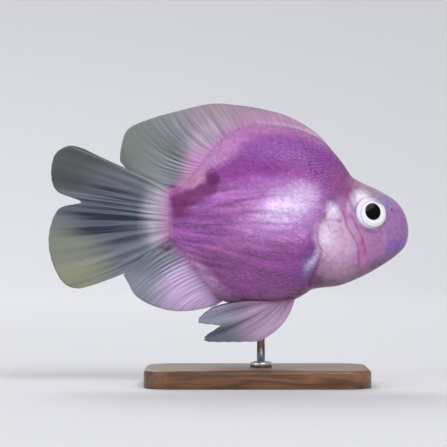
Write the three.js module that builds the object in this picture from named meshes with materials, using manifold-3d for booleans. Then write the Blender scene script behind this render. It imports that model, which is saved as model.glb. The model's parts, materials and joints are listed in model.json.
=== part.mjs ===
// A blood parrot cichlid, life size, as a still museum model on a plain display stand.
// Millimetres, +Z up. The head looks along +X, and the fish's right side faces -Y. The origin is on the floor, under
// the middle of the fish.
// The flesh is one lofted body that thin cuts part into head, lower jaw, gill covers, trunk and tail stalk. Each fin is
// a thin fan spread between a few guide rays, thick where it leaves the flesh and thin at its edge.

import * as THREE from "three";
import { mergeVertices } from "three/addons/utils/BufferGeometryUtils.js";
import Module from "manifold-3d";

const wasm = await Module();
wasm.setup();

// Driving sizes
const TOTAL_LENGTH = 180.1; // snout to the tip of the tail fin
const FLESH_LENGTH = 127; // snout to the end of the scaled root of the tail fin
const AXIS_HEIGHT = 81.5; // of the body's own level line above the floor
const SNOUT_X = TOTAL_LENGTH / 2;
const GAP = 0.3; // between pieces that meet

// The flesh in outline. Knots are [distance behind the snout, value].
const BACK = [
  [0, -4.7], [1.5, 3.3], [6.85, 10.9], [15.35, 16.2], [28, 22.5], [32.2, 28.2], [41, 38.8], [51.3, 45],
  [64.5, 48.2], [80.5, 48.2], [93.5, 41.5], [105, 28.5], [112, 19.8], [118, 17.2], [127, 17.4],
];
const BELLY = [
  [0, -4.7], [1.2, -11.3], [4.2, -15], [13.1, -21.7], [24.3, -27.9], [35, -32], [47.5, -33.7], [54.2, -37.5],
  [60, -40.1], [75, -41.3], [88, -41.1], [95, -38], [105, -27], [112, -17.5], [118, -10.8], [127, -11.6],
];
const HALF_WIDTH = [
  [0, 0], [1.5, 5.2], [5, 8.2], [14, 11.3], [28, 15.5], [40, 18.6], [54, 20.3], [68, 20],
  [82, 17.6], [95, 13.3], [107, 8.4], [116, 5.6], [122, 3.9], [127, 1.4],
];
const WIDEST_AT = [[0, -4.7], [10, -3.6], [25, -4], [50, -5], [70, -3.5], [90, 0], [112, 3], [127, 3.2]];
const BACK_FULLNESS = [[0, 2], [28, 2], [45, 1.85], [90, 1.8], [112, 2], [127, 2]]; // 2 is an ellipse
const BELLY_FULLNESS = 2.1;
const STATIONS = 32;
const STATION_SPREAD = 1.4; // over 1, stations crowd towards the snout
const ROUND_SIDES = 24;

// Cuts through the flesh, as [distance behind the snout, height above the level line]
const GILL_SLIT = [[28, 62], [30.5, 36], [33.5, 20], [40, 8.5], [46.5, -4], [46, -17], [49, -28], [54, -60]];
const CHEEK_EDGE = [
  [62, 11], [48, 10], [38, 7.5], [32.5, 0], [28, -9], [26.4, -18], [29, -24.5], [37, -28.5], [62, -31],
];
const JAW = [[-4, -8], [2, -8.4], [6.4, -11], [9.5, -26], [-4, -26]];
const TAIL_STALK_AT = 109;
const GILL_COVER_THICKNESS = 3;

// Eyes
const EYE_AT = [20.3, 4];
const EYE_RADIUS = 8.2;
const EYE_HALF_DEPTH = 4.6;
const EYE_STANDS_OUT = 1.9;
const EYE_TURN = THREE.MathUtils.degToRad(12); // looks this far forward
const EYE_LIFT = THREE.MathUtils.degToRad(16); // and this far up
const EYE_SIDES = 18;

// Guide rays of each fin: root and tip, each [distance behind the snout, height], then how far the ray bows to its
// front or upper side. A dorsal or anal root is only a distance, because it starts just under the skin.
const DORSAL_RAYS = [
  [36, [37.5, 34.4], 0], [44, [46, 44.2], 0], [55, [59, 52.3], 0], [67, [73, 56.5], 0.3], [79, [87, 58.6], 0.5],
  [89, [99, 59.2], 0.8], [96, [110, 57], 1], [101, [125, 52.7], 1], [105, [137, 49.6], 0.5],
  [108.5, [143.4, 39], -1], [114.5, [144.6, 30.6], -3.6],
];
const ANAL_RAYS = [
  [89.5, [94, -41], 0], [95, [103, -43.6], 0], [99, [113, -44.6], 0], [103, [122.5, -43.8], 0],
  [106.5, [131, -40.8], 0], [110, [136.8, -37], 0], [113.5, [139.9, -31.2], 0.4], [118, [142.8, -26.4], 1],
];
const CAUDAL_RAYS = [
  [[122, 15.5], [163, 36.8], 1.2], [[122.2, 14], [170, 38.2], 1.2], [[122.5, 12.5], [177, 34], 1],
  [[123, 9.5], [179, 24], 0.5],
  [[123.4, 6.5], [176, 15.4], 0], [[123.5, 4], [164, 10], 0], [[123.5, 1.5], [175, 6.6], 0],
  [[123.5, -1.5], [179.8, -5], 0], [[123, -4.5], [179, -18], -0.5], [[122.5, -7.5], [173.5, -29.5], -2],
  [[122.2, -9], [166, -33.2], -3], [[122, -10.2], [156, -30.6], -3.2],
];
const PELVIC_RAYS = [
  [[56.8, -36.5], [75.5, -59], -5.2], [[61.5, -38.5], [89, -59.4], -2.5], [[63.5, -39], [102.6, -58.6], -1.5],
  [[65.5, -39.3], [94.5, -51.8], -1], [[67.5, -39.5], [105.6, -49.6], -0.5], [[70, -39.8], [99, -43.4], 0],
];
const PECTORAL_RAYS = [
  [[46.6, -13], [75, 1.5], 1.5], [[46.8, -14.5], [84, -1.5], 1], [[47, -16], [90, -6.5], 0.5],
  [[47.3, -17.6], [94, -13], 0], [[47.8, -19.2], [94.5, -20], 0], [[48.4, -20.8], [92, -27], -0.5],
  [[49, -22.3], [86, -32.5], -1], [[49.8, -23.8], [77, -35], -1.5],
];
const ROOT_SINK = 1.6; // of a dorsal or anal root under the skin
const FIN_EDGE = 0.36; // half of a fin's thickness at its edge
const PECTORAL_SPREAD = 7; // the tips stand this much further out than the roots
const PECTORAL_CAMBER = 2.2;
const PECTORAL_SINK = 1.2; // of its root under the flank
const PELVIC_ROOT_Y = 4.6;
const PELVIC_SPREAD = 8.5;

const TAIL_SWAY = 2.2; // sideways bend of the tail fin at its edge
const TAIL_PLEAT = 0.5;
const TAIL_PLEATS = 7;
const DORSAL_SWAY = 2.4;
const ANAL_SWAY = 1.6;
const PELVIC_CURL = 1.2;
const ROOT_HALF_THICKNESS = { caudal: 2.2, dorsal: 1.7, anal: 1.6, pelvic: 1.1, pectoral: 1.1 };

// The stand. x is a middle's place along the fish, and top is a height above the floor.
const BASE = { length: 112, width: 66, height: 9, corner: 14, chamfer: 1.2, x: 14, cornerSides: 5 };
const ROD = { radius: 2, x: 16, top: 48, sides: 20 };
const COLLAR = { radius: 5.5, height: 3, chamfer: 0.8, sides: 20 };
const FAR = 70; // past every part of the fish, for the ends of cuts

// A smooth line through knots. It runs in the square root of the distance, which rounds the snout.
function through(knots) {
  const at = knots.map(([s]) => Math.sqrt(s));
  const value = knots.map(([, v]) => v);
  const last = knots.length - 1;
  const slope = value.map((_, i) => {
    const a = Math.max(i - 1, 0);
    const b = Math.min(i + 1, last);
    return (value[b] - value[a]) / (at[b] - at[a]);
  });
  return (s) => {
    const x = THREE.MathUtils.clamp(Math.sqrt(Math.max(s, 0)), 0, at[last]);
    const next = Math.max(at.findIndex((a) => a >= x), 1);
    const before = next - 1;
    const span = at[next] - at[before];
    const t = (x - at[before]) / span;
    return (
      value[before] * (1 + 2 * t) * (1 - t) ** 2 +
      value[next] * t * t * (3 - 2 * t) +
      span * t * (1 - t) * (slope[before] * (1 - t) - slope[next] * t)
    );
  };
}

const back = through(BACK);
const belly = through(BELLY);
const halfWidth = through(HALF_WIDTH);
const widestAt = through(WIDEST_AT);
const backFullness = through(BACK_FULLNESS);

// A point of the fish: behind the snout, out to the left, above the level line
function place(s, y, h) {
  return new THREE.Vector3(SNOUT_X - s, y, AXIS_HEIGHT + h);
}

// A point of the skin, by its angle round the body from the left flank over the back. grow moves it outwards.
function skin(s, angle, grow = 0) {
  const mid = widestAt(s);
  const up = Math.sin(angle) >= 0;
  const power = 2 / (up ? backFullness(s) : BELLY_FULLNESS);
  const reach = up ? back(s) - mid + grow : mid - belly(s) + grow;
  const out = Math.sign(Math.cos(angle)) * Math.abs(Math.cos(angle)) ** power * (halfWidth(s) + grow);
  const rise = Math.sign(Math.sin(angle)) * Math.abs(Math.sin(angle)) ** power * reach;
  const stretched = (s * (FLESH_LENGTH + 2 * grow)) / FLESH_LENGTH - grow;
  return place(stretched, out, mid + rise);
}

// How far out the flank is at a height
function flank(s, h) {
  const mid = widestAt(s);
  const fullness = h > mid ? backFullness(s) : BELLY_FULLNESS;
  const reach = h > mid ? back(s) - mid : mid - belly(s);
  const share = Math.min(Math.abs(h - mid) / reach, 1);
  return halfWidth(s) * (1 - share ** fullness) ** (1 / fullness);
}

function geometryOf(points, faces) {
  const geometry = new THREE.BufferGeometry().setFromPoints(points);
  geometry.setIndex(faces.flat());
  return geometry;
}

function solidOf(geometry) {
  const bare = geometry.clone();
  bare.deleteAttribute("normal");
  bare.deleteAttribute("uv");
  const merged = mergeVertices(bare, 1e-3);
  return new wasm.Manifold(
    new wasm.Mesh({
      numProp: 3,
      vertProperties: merged.attributes.position.array,
      triVerts: new Uint32Array(merged.index.array),
    }),
  );
}

// The largest body of a solid, without the crumbs that a cut leaves
function whole(solid) {
  return solid.decompose().sort((a, b) => b.volume() - a.volume())[0];
}

function meshOf(name, solid, material) {
  const cut = solid.getMesh();
  const corners = [];
  for (let i = 0; i < cut.numVert; i++) {
    corners.push(new THREE.Vector3().fromArray(cut.vertProperties, i * cut.numProp));
  }
  const geometry = geometryOf(corners, Array.from(cut.triVerts));
  geometry.computeVertexNormals();
  const mesh = new THREE.Mesh(geometry, material);
  mesh.name = name;
  return mesh;
}

// The flesh, lofted from the snout's point to the tail's root
function fleshSolid(grow = 0) {
  const points = [place(-grow, 0, widestAt(0))];
  for (let i = 1; i <= STATIONS; i++) {
    const s = FLESH_LENGTH * (i / STATIONS) ** STATION_SPREAD;
    for (let j = 0; j < ROUND_SIDES; j++) {
      points.push(skin(s, (j / ROUND_SIDES) * 2 * Math.PI, grow));
    }
  }
  points.push(place(FLESH_LENGTH + grow, 0, widestAt(FLESH_LENGTH)));
  const end = points.length - 1;
  const at = (i, j) => 1 + (i - 1) * ROUND_SIDES + (j % ROUND_SIDES);
  const faces = [];
  for (let j = 0; j < ROUND_SIDES; j++) {
    faces.push([0, at(1, j), at(1, j + 1)]);
    faces.push([end, at(STATIONS, j + 1), at(STATIONS, j)]);
    for (let i = 1; i < STATIONS; i++) {
      faces.push([at(i, j), at(i + 1, j), at(i + 1, j + 1)]);
      faces.push([at(i, j), at(i + 1, j + 1), at(i, j + 1)]);
    }
  }
  return solidOf(geometryOf(points, faces));
}

// A prism right across the body, over an outline in the side view
const ACROSS = 60;
function acrossBody(outline) {
  const shape = new THREE.Shape(outline.map(([s, h]) => new THREE.Vector2(SNOUT_X - s, AXIS_HEIGHT + h)));
  const geometry = new THREE.ExtrudeGeometry(shape, { depth: 2 * ACROSS, bevelEnabled: false });
  geometry.rotateX(Math.PI / 2);
  geometry.translate(0, ACROSS, 0);
  return solidOf(geometry);
}

// An outline's points, with smooth curves between them
function smooth(points, steps) {
  const curve = new THREE.SplineCurve(points.map(([s, h]) => new THREE.Vector2(s, h)));
  return curve.getPoints(steps).map((p) => [p.x, p.y]);
}

// A line moved sideways by some distance, to its right as it is walked
function beside(line, distance) {
  return line.map(([s, h], i) => {
    const [s0, h0] = line[Math.max(i - 1, 0)];
    const [s1, h1] = line[Math.min(i + 1, line.length - 1)];
    const length = Math.hypot(s1 - s0, h1 - h0);
    return [s + ((h1 - h0) / length) * distance, h - ((s1 - s0) / length) * distance];
  });
}

// A thin fan between guide rays. out(u, v) is how far it stands out to the left, and thick(u, v) is half its
// thickness, where u runs from the first ray to the last and v from root to tip.
function finSolid(rays, { across, along, out, thick, grow = 0 }) {
  const rootLine = new THREE.SplineCurve(rays.map(([root]) => new THREE.Vector2(...root)));
  const tipLine = new THREE.SplineCurve(rays.map(([, tip]) => new THREE.Vector2(...tip)));
  const bowLine = new THREE.SplineCurve(rays.map(([, , bow], i) => new THREE.Vector2(i, bow)));
  const points = [];
  for (const side of [1, -1]) {
    for (let i = 0; i <= across; i++) {
      const u = i / across;
      const root = rootLine.getPoint(u);
      const ray = tipLine.getPoint(u).sub(root);
      const aside = new THREE.Vector2(-ray.y, ray.x).normalize();
      for (let j = 0; j <= along; j++) {
        const v = j / along;
        const bow = 4 * v * (1 - v) * bowLine.getPoint(u).y;
        const at = root.clone().addScaledVector(ray, v).addScaledVector(aside, bow);
        points.push(place(at.x, out(u, v) + side * (thick(u, v) + grow), at.y));
      }
    }
  }
  const row = along + 1;
  const sheet = (across + 1) * row;
  const faces = [];
  const quad = (a, b, c, d) => faces.push([a, b, c], [a, c, d]);
  for (let i = 0; i < across; i++) {
    for (let j = 0; j < along; j++) {
      const a = i * row + j;
      quad(a, a + 1, a + row + 1, a + row);
      quad(sheet + a, sheet + a + row, sheet + a + row + 1, sheet + a + 1);
    }
    const foot = i * row;
    const tip = foot + along;
    quad(foot, foot + row, sheet + foot + row, sheet + foot);
    quad(tip, sheet + tip, sheet + tip + row, tip + row);
  }
  for (let j = 0; j < along; j++) {
    const b = across * row + j;
    quad(j, sheet + j, sheet + j + 1, j + 1);
    quad(b, b + 1, sheet + b + 1, sheet + b);
  }
  const solid = solidOf(geometryOf(points, faces));
  return solid.volume() > 0 ? solid : solidOf(geometryOf(points, faces.map(([a, b, c]) => [a, c, b])));
}

// Half a fin's thickness, from its fleshy root to its edge
function tapered(root) {
  return (u, v) => FIN_EDGE + (root - FIN_EDGE) * (1 - v) ** 1.5;
}

function mirrored(solid) {
  return solid.mirror([0, 1, 0]);
}

const flesh = fleshSolid();
const grown = fleshSolid(GAP);

// The eye, a flattened ball that looks out, a little forward and up
function eyeSolid(side, grow = 0) {
  const ball = new THREE.SphereGeometry(1, EYE_SIDES, EYE_SIDES / 2);
  ball.scale(EYE_RADIUS + grow, EYE_HALF_DEPTH + grow, EYE_RADIUS + grow);
  ball.rotateZ(side * -EYE_TURN);
  ball.rotateX(side * EYE_LIFT);
  const [s, h] = EYE_AT;
  const centre = place(s, side * (flank(s, h) + EYE_STANDS_OUT - EYE_HALF_DEPTH), h);
  ball.translate(centre.x, centre.y, centre.z);
  return solidOf(ball);
}

// The flesh in its pieces
const slit = smooth(GILL_SLIT, 20);
const ahead = acrossBody([...slit, [-FAR, -FAR], [-FAR, FAR]]);
const behind = acrossBody([...beside(slit, -GAP), [2 * FAR, -FAR], [2 * FAR, FAR]]);
const cheekArea = smooth(CHEEK_EDGE, 24);
const cheekCut = beside(cheekArea, GAP);

const frontOfBody = flesh.intersect(ahead);
const cheekPlate = acrossBody(cheekArea).subtract(fleshSolid(-GILL_COVER_THICKNESS));
const cheekPocket = acrossBody(cheekCut).subtract(fleshSolid(-GILL_COVER_THICKNESS - GAP));
const everywhere = [[-FAR, FAR], [2 * FAR, FAR], [2 * FAR, -FAR], [-FAR, -FAR]];
const leftHalf = acrossBody(everywhere).translate(0, ACROSS + GAP / 2, 0);
const jawCut = JAW.map(([s, h], i) => [s + (i === 3 ? GAP : 0), h + (i < 3 ? GAP : 0)]);

const gillCover = whole(frontOfBody.intersect(cheekPlate).intersect(leftHalf));
const lowerJaw = whole(frontOfBody.intersect(acrossBody(JAW)));
const eyes = { left: eyeSolid(1), right: eyeSolid(-1) };
const eyeSockets = eyeSolid(1, GAP).add(eyeSolid(-1, GAP));
const head = whole(frontOfBody.subtract(cheekPocket).subtract(acrossBody(jawCut)).subtract(eyeSockets));

// The rod stands on the base, and its end sits in a blind hole in the belly
function upright(radius, bottom, top) {
  const cylinder = new THREE.CylinderGeometry(radius, radius, top - bottom, ROD.sides);
  return solidOf(cylinder.rotateX(Math.PI / 2).translate(ROD.x, 0, (top + bottom) / 2));
}

const rod = upright(ROD.radius, BASE.height, ROD.top);
const rodHole = upright(ROD.radius + GAP, 0, ROD.top + GAP);
const rearOfBody = flesh.intersect(behind);
const fromStalk = acrossBody([[TAIL_STALK_AT, FAR], [2 * FAR, FAR], [2 * FAR, -FAR], [TAIL_STALK_AT, -FAR]]);
const trunkEnd = TAIL_STALK_AT - GAP;
const toStalk = acrossBody([[-FAR, FAR], [trunkEnd, FAR], [trunkEnd, -FAR], [-FAR, -FAR]]);
const trunk = whole(rearOfBody.intersect(toStalk).subtract(rodHole));
const tailStalk = whole(rearOfBody.intersect(fromStalk));

// The fins
const tailBend = (u, v) => TAIL_SWAY * v * v * Math.cos(u * 4 + 0.4);
const tailPleat = (u, v) => TAIL_PLEAT * v * Math.sin(u * TAIL_PLEATS * 2 * Math.PI);
const caudalOptions = {
  across: 24,
  along: 5,
  out: (u, v) => tailBend(u, v) + tailPleat(u, v),
  thick: tapered(ROOT_HALF_THICKNESS.caudal),
};
const caudal = finSolid(CAUDAL_RAYS, caudalOptions).subtract(grown);
const caudalRoom = finSolid(CAUDAL_RAYS, { ...caudalOptions, grow: GAP });

const underBack = ([s, tip, bow]) => [[s, back(s) - ROOT_SINK], tip, bow];
const overBelly = ([s, tip, bow]) => [[s, belly(s) + ROOT_SINK], tip, bow];
const dorsal = finSolid(DORSAL_RAYS.map(underBack), {
  across: 32,
  along: 4,
  out: (u, v) => -DORSAL_SWAY * v * v * Math.max(u - 0.5, 0) * Math.sin((u - 0.5) * 9),
  thick: tapered(ROOT_HALF_THICKNESS.dorsal),
})
  .subtract(grown)
  .subtract(caudalRoom);
const anal = finSolid(ANAL_RAYS.map(overBelly), {
  across: 20,
  along: 4,
  out: (u, v) => ANAL_SWAY * v * v * Math.sin(u * 5),
  thick: tapered(ROOT_HALF_THICKNESS.anal),
})
  .subtract(grown)
  .subtract(caudalRoom);

const pelvic = finSolid(PELVIC_RAYS, {
  across: 18,
  along: 5,
  out: (u, v) => PELVIC_ROOT_Y + PELVIC_SPREAD * v * (1 - 0.3 * u) + PELVIC_CURL * Math.sin(v * 3) * u,
  thick: tapered(ROOT_HALF_THICKNESS.pelvic),
}).subtract(grown);

const pectoralRoots = new THREE.SplineCurve(PECTORAL_RAYS.map(([[s, h]], i) => new THREE.Vector2(i, flank(s, h))));
const pectoralCamber = (u, v) => PECTORAL_CAMBER * Math.sin(v * Math.PI) * (0.4 + u * 0.6);
const pectoral = finSolid(PECTORAL_RAYS, {
  across: 18,
  along: 5,
  out: (u, v) => pectoralRoots.getPoint(u).y - PECTORAL_SINK + PECTORAL_SPREAD * v + pectoralCamber(u, v),
  thick: tapered(ROOT_HALF_THICKNESS.pectoral),
}).subtract(grown);

// The stand's flat base, with round corners and a chamfer
function baseGeometry() {
  const { length, width, height, corner, chamfer, x } = BASE;
  const halfX = length / 2 - chamfer;
  const halfY = width / 2 - chamfer;
  const r = corner - chamfer;
  const shape = new THREE.Shape();
  shape.moveTo(halfX, -halfY + r);
  shape.absarc(halfX - r, halfY - r, r, 0, Math.PI / 2);
  shape.absarc(-halfX + r, halfY - r, r, Math.PI / 2, Math.PI);
  shape.absarc(-halfX + r, -halfY + r, r, Math.PI, Math.PI * 1.5);
  shape.absarc(halfX - r, -halfY + r, r, Math.PI * 1.5, Math.PI * 2);
  return new THREE.ExtrudeGeometry(shape, {
    depth: height - 2 * chamfer,
    bevelThickness: chamfer,
    bevelSize: chamfer,
    bevelSegments: 1,
    curveSegments: BASE.cornerSides,
  }).translate(x, 0, chamfer);
}

function collarGeometry() {
  const { radius, height, chamfer } = COLLAR;
  const inner = ROD.radius + GAP;
  const profile = [
    [inner, 0], [radius, 0], [radius, height - chamfer], [radius - chamfer, height], [inner, height], [inner, 0],
  ].map(([r, z]) => new THREE.Vector2(r, z));
  return new THREE.LatheGeometry(profile, COLLAR.sides).rotateX(Math.PI / 2).translate(ROD.x, 0, BASE.height);
}

// Finishes
const finish = (color, roughness, metalness = 0) => new THREE.MeshStandardMaterial({ color, roughness, metalness });
const hide = finish("#9a5ba6", 0.4);
const cheekHide = finish("#d3a3cb", 0.35);
const snoutHide = finish("#9b76a6", 0.4);
const finWeb = finish("#98a09c", 0.45);
const pinkWeb = finish("#b98fb9", 0.45);
const eyeWhite = finish("#efeaf1", 0.15);
const walnut = finish("#4a3226", 0.45);
const steel = finish("#b9bcc0", 0.3, 1);

const fish = new THREE.Group();
fish.add(
  meshOf("head", head, snoutHide),
  meshOf("lower_jaw", lowerJaw, snoutHide),
  meshOf("gill_cover_left", gillCover, cheekHide),
  meshOf("gill_cover_right", mirrored(gillCover), cheekHide),
  meshOf("trunk", trunk, hide),
  meshOf("tail_stalk", tailStalk, hide),
  meshOf("eye_left", eyes.left, eyeWhite),
  meshOf("eye_right", eyes.right, eyeWhite),
  meshOf("dorsal_fin", whole(dorsal), finWeb),
  meshOf("anal_fin", whole(anal), pinkWeb),
  meshOf("caudal_fin", whole(caudal), finWeb),
  meshOf("pelvic_fin_left", whole(pelvic), pinkWeb),
  meshOf("pelvic_fin_right", mirrored(whole(pelvic)), pinkWeb),
  meshOf("pectoral_fin_left", whole(pectoral), pinkWeb),
  meshOf("pectoral_fin_right", mirrored(whole(pectoral)), pinkWeb),
);

const stand = new THREE.Group();
stand.add(
  meshOf("stand_base", solidOf(baseGeometry()), walnut),
  meshOf("stand_collar", solidOf(collarGeometry()), steel),
  meshOf("stand_rod", rod, steel),
);

const model = new THREE.Group();
model.add(fish, stand);
export default model;
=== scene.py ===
# %% [markdown]
# A blood parrot cichlid, dyed purple, on a plain display stand.
#
# The solids of the fish come packed as a fixed frame. This lesson builds the looks around them: one smooth
# skin over all the flesh, a coat of thin overlapping scales, fins of web and rays, wet eyes, and a walnut and
# steel stand. Every piece takes its shape from the same outline as the solids, so it lies where they lie.

# %% Load the frame
import json
import math
from collections import namedtuple

import bpy
import numpy as np
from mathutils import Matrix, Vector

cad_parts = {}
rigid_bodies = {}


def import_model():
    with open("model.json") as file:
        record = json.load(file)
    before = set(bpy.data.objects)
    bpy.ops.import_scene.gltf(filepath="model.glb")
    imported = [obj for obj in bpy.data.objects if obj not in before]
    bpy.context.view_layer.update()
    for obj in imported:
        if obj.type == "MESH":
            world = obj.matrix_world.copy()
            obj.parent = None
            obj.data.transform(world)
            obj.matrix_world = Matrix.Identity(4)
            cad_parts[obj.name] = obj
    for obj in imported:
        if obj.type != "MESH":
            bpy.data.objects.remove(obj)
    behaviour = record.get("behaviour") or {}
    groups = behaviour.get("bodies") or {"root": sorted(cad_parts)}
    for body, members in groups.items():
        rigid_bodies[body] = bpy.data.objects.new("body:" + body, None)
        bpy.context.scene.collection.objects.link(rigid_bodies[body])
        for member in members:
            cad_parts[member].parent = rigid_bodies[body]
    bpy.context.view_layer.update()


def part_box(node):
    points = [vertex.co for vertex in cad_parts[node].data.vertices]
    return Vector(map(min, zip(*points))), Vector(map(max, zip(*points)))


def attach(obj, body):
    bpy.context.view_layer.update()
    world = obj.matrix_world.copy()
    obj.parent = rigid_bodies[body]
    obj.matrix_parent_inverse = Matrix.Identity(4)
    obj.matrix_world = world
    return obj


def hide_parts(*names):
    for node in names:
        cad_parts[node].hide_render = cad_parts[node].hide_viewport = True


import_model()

# %% [markdown]
# ## Driving sizes
#
# Everything below is in millimetres along the fish: how far behind the snout, how far to its left, and how
# high above its own level line. `place` turns that into metres in the frame. The outline knots are the ones
# that the solids have.

# %% Driving sizes
MM = 0.001
SNOUT_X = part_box("head")[1].x / MM
LEVEL = 81.5  # the fish's level line above the floor
FLESH_LENGTH = 127.0
COAT_DEPTH = 0.35  # the skin lies this far inside the solids
SNOUT_DRAWN_IN = 4  # its snout is drawn back as well, less and less over this length
LEAST_REACH = 0.15  # half of the least height and width that the skin may have

BACK = [
    (0, -4.7), (1.5, 3.3), (6.85, 10.9), (15.35, 16.2), (28, 22.5), (32.2, 28.2), (41, 38.8), (51.3, 45),
    (64.5, 48.2), (80.5, 48.2), (93.5, 41.5), (105, 28.5), (112, 19.8), (118, 17.2), (127, 17.4),
]
BELLY = [
    (0, -4.7), (1.2, -11.3), (4.2, -15), (13.1, -21.7), (24.3, -27.9), (35, -32), (47.5, -33.7),
    (54.2, -37.5), (60, -40.1), (75, -41.3), (88, -41.1), (95, -38), (105, -27), (112, -17.5), (118, -10.8),
    (127, -11.6),
]
HALF_WIDTH = [
    (0, 0), (1.5, 5.2), (5, 8.2), (14, 11.3), (28, 15.5), (40, 18.6), (54, 20.3), (68, 20),
    (82, 17.6), (95, 13.3), (107, 8.4), (116, 5.6), (122, 3.9), (127, 1.4),
]
WIDEST_AT = [(0, -4.7), (10, -3.6), (25, -4), (50, -5), (70, -3.5), (90, 0), (112, 3), (127, 3.2)]
BACK_FULLNESS = [(0, 2), (28, 2), (45, 1.85), (90, 1.8), (112, 2), (127, 2)]
BELLY_FULLNESS = 2.1


def place(s, y, h):
    """Points in metres from distances behind the snout, out to the left and above the level line."""
    return np.stack(np.broadcast_arrays(SNOUT_X - s, y, LEVEL + h), axis=-1) * MM


def through(knots):
    """A smooth line through knots, in the square root of the distance, which rounds the snout."""
    at = np.sqrt([s for s, _ in knots])
    value = np.array([v for _, v in knots], float)
    steps = np.arange(len(knots))
    before, after = np.maximum(steps - 1, 0), np.minimum(steps + 1, len(knots) - 1)
    slope = (value[after] - value[before]) / (at[after] - at[before])

    def line(s):
        x = np.clip(np.sqrt(np.maximum(s, 0)), 0, at[-1])
        b = np.clip(np.searchsorted(at, x), 1, len(at) - 1)
        a = b - 1
        span = at[b] - at[a]
        t = (x - at[a]) / span
        ends = value[a] * (1 + 2 * t) * (1 - t) ** 2 + value[b] * t * t * (3 - 2 * t)
        return ends + span * t * (1 - t) * (slope[a] * (1 - t) - slope[b] * t)

    return line


back, belly, half_width = through(BACK), through(BELLY), through(HALF_WIDTH)
widest_at, back_fullness = through(WIDEST_AT), through(BACK_FULLNESS)


def bent(x, power):
    """A power of a number that keeps its sign."""
    return np.sign(x) * np.abs(x) ** power


def body_point(s, angle, inset=0.0):
    """(s, y, h) on the body. The angle runs round it: 0 is the left flank, a quarter turn the back."""
    mid = widest_at(s)
    up = np.sin(angle) >= 0
    power = 2 / np.where(up, back_fullness(s), BELLY_FULLNESS)
    reach = np.maximum(np.where(up, back(s) - mid, mid - belly(s)) - inset, LEAST_REACH)
    y = bent(np.cos(angle), power) * np.maximum(half_width(s) - inset, LEAST_REACH)
    h = mid + bent(np.sin(angle), power) * reach
    return s + inset * np.clip(1 - s / SNOUT_DRAWN_IN, 0, 1), y, h


print("body:", round(float(back(70.0) - belly(70.0)), 1), "mm deep, 70 mm behind the snout")
print("body:", round(2 * float(half_width(60.0)), 1), "mm wide, 60 mm behind it")

# %% [markdown]
# ## Small helpers
#
# Blender's own shapes don't fit a fish, so a grid of points becomes a mesh that may carry named numbers for
# the finishes. One function adds a shader or geometry node with its settings and links.


# %% Mesh helpers
def new_object(name, data):
    """Puts a mesh, lamp or camera into the scene."""
    piece = bpy.data.objects.new(name, data)
    bpy.context.scene.collection.objects.link(piece)
    return piece


def new_mesh(name, points, faces=(), edges=(), values=None):
    """A smooth mesh from points in metres. values are named numbers or vectors, one for each point."""
    mesh = bpy.data.meshes.new(name)
    faces = [list(map(int, face)) for face in faces]
    mesh.from_pydata(np.asarray(points).tolist(), list(edges), faces, shade_flat=False)
    mesh.validate()
    for title, numbers in (values or {}).items():
        numbers = np.asarray(numbers, float)
        kind, field = ("FLOAT", "value") if numbers.ndim == 1 else ("FLOAT_VECTOR", "vector")
        mesh.attributes.new(title, kind, "POINT").data.foreach_set(field, numbers.ravel())
    mesh.update()
    return mesh


def grid_faces(rows, columns, wrap=False):
    """Quads over a grid of points held row by row. wrap joins the last column to the first."""
    r, c = np.meshgrid(np.arange(rows - 1), np.arange(columns if wrap else columns - 1), indexing="ij")
    right = (c + 1) % columns
    corners = [r * columns + c, r * columns + right, (r + 1) * columns + right, (r + 1) * columns + c]
    return np.stack([x.ravel() for x in corners], axis=-1)


def ring_mesh(name, rings, poles=(), flip=False, values=None):
    """A mesh over rings of points. Poles close its first and last end; without them both ends are flat."""
    rows, columns = rings.shape[:2]
    faces = [tuple(face) for face in grid_faces(rows, columns, wrap=True)]
    first = np.arange(columns)
    ends = [first[::-1], first + (rows - 1) * columns]
    for number, ring in enumerate(ends[: len(poles) or 2]):
        if len(poles):
            faces += [(rows * columns + number, a, b) for a, b in zip(ring, np.roll(ring, -1))]
        else:
            faces.append(tuple(ring))
    if flip:
        faces = [face[::-1] for face in faces]
    points = np.concatenate([rings.reshape(-1, 3), np.reshape(poles, (-1, 3))])
    return new_mesh(name, points, faces, values=values)


def lathed(outline, steps, middle_x=0.0):
    """Rings of points turned about an upright axis from (radius, height) pairs, bottom first."""
    around = np.linspace(0, 2 * math.pi, steps, endpoint=False)
    radii, heights = np.array(outline, float).T
    x, y = np.outer(radii, np.cos(around)), np.outer(radii, np.sin(around))
    return np.stack([middle_x + x, y, np.outer(heights, np.ones(steps))], -1)


def volume(mesh):
    """Volume in cubic centimetres, negative if the faces point inwards."""
    mesh.calc_loop_triangles()
    corners = np.empty(3 * len(mesh.loop_triangles), int)
    mesh.loop_triangles.foreach_get("vertices", corners)
    at = np.empty(3 * len(mesh.vertices))
    mesh.vertices.foreach_get("co", at)
    a, b, c = at.reshape(-1, 3)[corners].reshape(-1, 3, 3).transpose(1, 0, 2)
    return float((np.cross(a, b) * c).sum() / 6 * 1e6)


def tell(piece):
    print(piece.name, len(piece.data.polygons), "faces,", round(volume(piece.data), 2), "cubic centimetres")


# %% Node helpers
def add(tree, kind, inputs=None, out=None, **settings):
    """Adds one node and returns an output: the one that out names, or else the first in use.

    inputs gives a socket, by name or number, its value or the output that feeds it.
    """
    node = tree.nodes.new(kind)
    for key, value in settings.items():
        setattr(node, key, value)
    for socket, value in (inputs or {}).items():
        if isinstance(value, bpy.types.NodeSocket):
            tree.links.new(value, node.inputs[socket])
        else:
            node.inputs[socket].default_value = value
    return node.outputs[out] if out else next((output for output in node.outputs if output.enabled), None)


def colour(hex_code):
    """An sRGB hex colour as linear RGBA."""
    channels = [int(hex_code[i : i + 2], 16) / 255 for i in (1, 3, 5)]
    return [c / 12.92 if c <= 0.04045 else ((c + 0.055) / 1.055) ** 2.4 for c in channels] + [1.0]


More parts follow.
